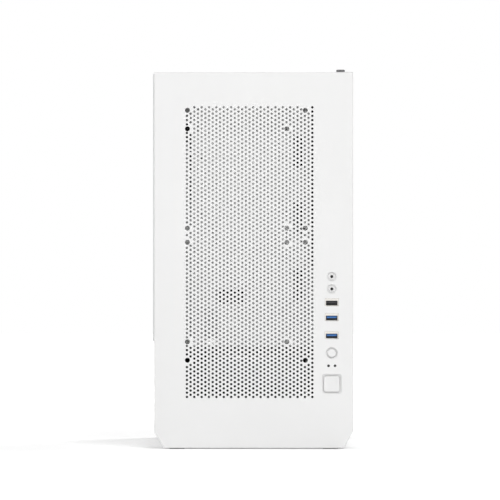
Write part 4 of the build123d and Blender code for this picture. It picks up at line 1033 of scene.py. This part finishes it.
def drive_case():
    low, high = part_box("hard_drive")
    x, y, _ = middle("hard_drive")
    wide, deep = high[0] - low[0], high[1] - low[1]
    bottom, top, rim = low[2], high[2], high[2] - cover_step
    case, cover, board = Shape(), Shape(), Shape()

    def stack(shape, levels, corner=drive_corner):
        """Capped skin over outlines of the drive, each with its inset and height."""
        rings = []
        for inset, z in levels:
            loop = rounded_box(x, y, wide - 2 * inset, deep - 2 * inset, corner, drive_corner_steps)
            rings.append([(u, v, z) for u, v in loop])
        shape.rings(rings, capped=True)

    stack(case, (
        (drive_wall, bottom + drive_skirt), (drive_wall, bottom), (0, bottom), (0, rim - drive_edge),
        (drive_edge, rim),
    ))
    stack(cover, (
        (cover_inset, rim), (cover_inset, top - drive_edge), (cover_inset + cover_edge, top),
    ), cover_corner)
    stack(board, (
        (drive_board_inset, bottom + drive_board_low), (drive_board_inset, bottom + drive_board_high),
    ))
    new_piece("drive_case", case, "bare_aluminium", ("hard_drive",), material=cast_metal())
    new_piece("drive_cover", cover, "bare_steel")
    new_piece("drive_board", board, "circuit_board")


drive_case()


# Tongues and dark linings in the rear sockets, two to each block

port_hole = 13.2 * MM
port_rib = 4.0 * MM
port_wall = 1.5 * MM
port_lining = 0.8 * MM
port_tongue_half = 1.0 * MM
port_tongue_shift = 0.25
port_tongue_recess = 1.2 * MM
port_tongue_edge = 0.3 * MM


def port_insides():
    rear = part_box("rear_ports")[1][1]
    board_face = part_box("motherboard")[0][0]
    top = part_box("port_shield")[1][2]
    black, blue = Shape(), Shape()
    # Place below the top of the shield, height over the board and width of each block, in mm
    blocks = (
        (28.6, 30.0, 17.0, black), (63.5, 26.0, 22.0, blue),
        (98.5, 32.0, 18.0, blue), (136.6, 36.0, 14.0, black),
    )
    end = rear - port_hole
    for down, tall, wide, tongues in blocks:
        z, half = top - down * MM, (wide * MM - 2 * port_wall) / 2
        reach = (tall * MM / 2 - port_rib) / 2
        for side in (-1, 1):
            x = board_face - tall * MM * (0.5 - side / 4)
            black.block((x - reach, end, z - half), (x + reach, end + port_lining, z + half))
            core, tip = x + port_tongue_shift * reach, half - port_tongue_recess
            tongues.block(
                (core - port_tongue_half, end, z - tip),
                (core + port_tongue_half, rear - port_tongue_recess, z + tip),
                port_tongue_edge,
            )
    new_piece("port_linings", black, "black_plastic")
    new_piece("port_tongues", blue, "blue_plastic")


port_insides()


# Small parts on the board, all standing on its face towards the glass

# Sizes along y, along z and out from the board, then the cut-back of the edges, in mm
choke_size = (10.0, 8.6, 7.0, 0.9)
header_size = (5.2, 2.6, 0.4)
header_lengths = (20, 26, 20, 14, 20)
pin_size = (0.7, 0.7, 8.2, 0.2)
pin_pitch = 2.54 * MM
drive_socket_size = (12.0, 9.5, 8.5, 1.2)

# Radius and height of capacitor cans
large_can = (3.0 * MM, 8.5 * MM)
small_can = (2.5 * MM, 6.5 * MM)
can_sides = 20

# Fins on the chip's heatsink, which is the plate well below the processor
plate_drop = 60.0 * MM
plate_margin = 1.0 * MM
fin_count = 10
fin_thickness = 1.6 * MM
fin_height = 6.0 * MM
fin_edge = 0.2 * MM


def board_parts():
    low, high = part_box("motherboard")
    face, front, rear, bottom, top = low[0], low[1], high[1], low[2], high[2]
    cans, blocks, pins = Shape(), Shape(), Shape()

    def can(y, z, radius, height):
        place = facing((face, y, z), (0, 1, 0), (-1, 0, 0))
        profile = [
            (radius * 1.02, 0), (radius * 1.02, 0.5 * MM), (radius * 0.94, 0.9 * MM), (radius, 1.5 * MM),
            (radius, height - 0.6 * MM), (radius - 0.5 * MM, height), (radius * 0.5, height - 0.15 * MM),
        ]
        cans.lathe(profile, place, can_sides, capped=True)

    def block(y, z, size, store=blocks):
        deep, tall, height, edge = [length * MM for length in size]
        rings = []
        for inset, h in ((0, 0), (0, height - edge), (edge, height)):
            a, b = deep / 2 - inset, tall / 2 - inset
            corners = ((-a, -b), (a, -b), (a, b), (-a, b))
            rings.append([(face - h, y + along, z + up) for along, up in corners])
        store.rings(rings, capped=True)

    # Chokes and cans above the processor, and cans in front of it
    for i in range(6):
        y = cooler_y - 36 * MM + 14.4 * MM * i
        block(y, top - 33 * MM, choke_size)
        can(y, top - 42.5 * MM, *large_can)
    for i in range(4):
        can(cooler_y - 51.5 * MM, cooler_z - 24 * MM + 11 * MM * i, *large_can)

    # Cans and chips near the lower rear corner, and a chip further forwards
    for i in range(5):
        can(rear - 14 * MM - 8.5 * MM * (i % 2), bottom + 28 * MM + 8 * MM * i, *small_can)
    block(rear - 34 * MM, bottom + 44 * MM, (9.0, 9.0, 1.2, 0.4))
    block(rear - 32 * MM, bottom + 64 * MM, (7.0, 7.0, 1.0, 0.4))
    block(front + 92 * MM, bottom + 64 * MM, (12.0, 12.0, 1.4, 0.4))

    # Pin headers along the lower edge
    for i, length in enumerate(header_lengths):
        y, z = front + 28 * MM + 33 * MM * i, bottom + 6 * MM
        block(y, z, (length, *header_size))
        count = length // 4
        for k in range(count):
            for row in (-0.5, 0.5):
                block(y + (k - (count - 1) / 2) * pin_pitch, z + row * pin_pitch, pin_size, pins)

    # Drive sockets at the front edge
    for i in range(4):
        block(front + 8 * MM, bottom + 62 * MM + 13 * MM * i, drive_socket_size)

    sink_node = frame["nodes"]["board_heatsinks"]
    corners = [sink_node.matrix_world @ v.co for v in sink_node.data.vertices]
    plate = [c for c in corners if c.z < cooler_z - plate_drop]
    plate_face = min(c.x for c in plate)
    y0, y1 = min(c.y for c in plate) + plate_margin, max(c.y for c in plate) - plate_margin
    z0, z1 = min(c.z for c in plate) + plate_margin, max(c.z for c in plate) - plate_margin
    fins = Shape()
    for i in range(fin_count):
        y = y0 + (y1 - y0 - fin_thickness) * i / (fin_count - 1)
        fins.block((plate_face - fin_height, y, z0), (plate_face, y + fin_thickness, z1), fin_edge)
    new_piece("chip_fins", fins, "bare_aluminium")
    new_piece("board_cans", cans, "bare_aluminium")
    new_piece("board_blocks", blocks, "black_plastic")
    new_piece("board_pins", pins, "brass_pillar")


board_parts()


# Camera at the photograph's view

photo_pixel = 1.0565 * MM
photo_size = 500
view_x = -3.1 * MM
view_z = 210.35 * MM
view_distance = 6.0
sensor = 36.0

camera_data = bpy.data.cameras.new("photo_camera")
camera_data.sensor_width = sensor
camera_data.lens = sensor * view_distance / (photo_pixel * photo_size)
camera_data.clip_end = 50
camera = bpy.data.objects.new("photo_camera", camera_data)
camera.location = (view_x, front_y - view_distance, view_z)
camera.rotation_euler = (math.radians(90), 0, 0)
bpy.context.scene.collection.objects.link(camera)
bpy.context.scene.camera = camera


# Studio: white floor, pale surround and soft lamps

floor_half = 8.0
floor_color = (0.92, 0.92, 0.92, 1)
glow_start = 0.3
glow_end = 4.0
look_at = Vector((body_x, 0, body_top / 2))


def math_node(nodes, links, operation, first, second):
    """Result of an operation on two outputs, or on an output and a number."""
    node = nodes.new("ShaderNodeMath")
    node.operation = operation
    links.new(first, node.inputs[0])
    if isinstance(second, float):
        node.inputs[1].default_value = second
    else:
        links.new(second, node.inputs[1])
    return node.outputs[0]


def seen_rays(nodes, links):
    """1 for what the camera sees straight, in gloss or through glass, and 0 for light on other surfaces."""
    path = nodes.new("ShaderNodeLightPath").outputs
    seen = path["Is Camera Ray"]
    for ray in ("Is Glossy Ray", "Is Transmission Ray"):
        seen = math_node(nodes, links, "MAXIMUM", seen, path[ray])
    direct = math_node(nodes, links, "LESS_THAN", path["Diffuse Depth"], 0.5)
    return math_node(nodes, links, "MULTIPLY", seen, direct)


def floor(near_glow, far_glow):
    """White floor that keeps the shadow; its glow is seen, makes up for weak lamps and lights nothing."""
    mesh = bpy.data.meshes.new("studio_floor")
    corners = [(sx * floor_half, sy * floor_half, 0) for sx, sy in ((-1, -1), (1, -1), (1, 1), (-1, 1))]
    mesh.from_pydata(corners, [], [[0, 1, 2, 3]])
    material = bpy.data.materials.new("studio_floor")
    material.use_nodes = True
    nodes, links = material.node_tree.nodes, material.node_tree.links
    shader = nodes["Principled BSDF"]
    shader.inputs["Base Color"].default_value = floor_color
    shader.inputs["Roughness"].default_value = 0.9
    shader.inputs["Specular IOR Level"].default_value = 0.0
    shader.inputs["Emission Color"].default_value = (1, 1, 1, 1)
    away = nodes.new("ShaderNodeVectorMath")
    away.operation = "LENGTH"
    links.new(nodes.new("ShaderNodeTexCoord").outputs["Object"], away.inputs[0])
    level = nodes.new("ShaderNodeMapRange")
    level.inputs["From Min"].default_value = glow_start
    level.inputs["From Max"].default_value = glow_end
    level.inputs["To Min"].default_value = near_glow
    level.inputs["To Max"].default_value = far_glow
    links.new(away.outputs["Value"], level.inputs["Value"])
    strength = math_node(nodes, links, "MULTIPLY", seen_rays(nodes, links), level.outputs["Result"])
    links.new(strength, shader.inputs["Emission Strength"])
    mesh.materials.append(material)
    plane = bpy.data.objects.new("studio_floor", mesh)
    bpy.context.scene.collection.objects.link(plane)


def surround(light_strength):
    """Even light from all round; the camera, gloss and glass see plain white."""
    world = bpy.data.worlds.new("studio")
    world.use_nodes = True
    nodes, links = world.node_tree.nodes, world.node_tree.links
    background = nodes["Background"]
    background.inputs["Color"].default_value = (1, 1, 1, 1)
    level = nodes.new("ShaderNodeMapRange")
    level.inputs["To Min"].default_value = light_strength
    level.inputs["To Max"].default_value = 1.0
    links.new(seen_rays(nodes, links), level.inputs["Value"])
    links.new(level.outputs["Result"], background.inputs["Strength"])
    bpy.context.scene.world = world


def soft_lamp(name, place, size, power, gloss=True):
    """Round lamp that faces the middle of the body, and shows in gloss or not."""
    data = bpy.data.lights.new(name, "AREA")
    data.shape = "DISK"
    data.size = size
    data.energy = power
    lamp = bpy.data.objects.new(name, data)
    lamp.location = place
    lamp.visible_glossy = gloss
    lamp.rotation_euler = (look_at - Vector(place)).to_track_quat("-Z", "Y").to_euler()
    bpy.context.scene.collection.objects.link(lamp)


floor(near_glow=0.33, far_glow=0.88)
surround(light_strength=0.2)
soft_lamp("key", (1.0, -3.4, 2.7), size=1.5, power=76)
soft_lamp("side", (-2.6, 0.2, 1.6), size=1.4, power=36, gloss=False)
soft_lamp("rim", (1.5, 2.2, 1.8), size=1.2, power=42, gloss=False)

# A small lamp, in line with every second column of the field, shows the inner wall through the holes
wall_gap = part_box("inner_front_wall")[0][1] - front_y - sheet / 2
lamp_distance = 2.6
lit_x, lit_z = mesh_low[0], mesh_high[2]
lamp_x = lit_x - lamp_distance * (2 * column_pitch / wall_gap + (lit_x - view_x) / view_distance)
lamp_z = lit_z - lamp_distance * (lit_z - view_z) / view_distance
soft_lamp("front", (lamp_x, front_y - lamp_distance, lamp_z), size=0.07, power=12.5)

bpy.context.scene.view_settings.view_transform = "Standard"
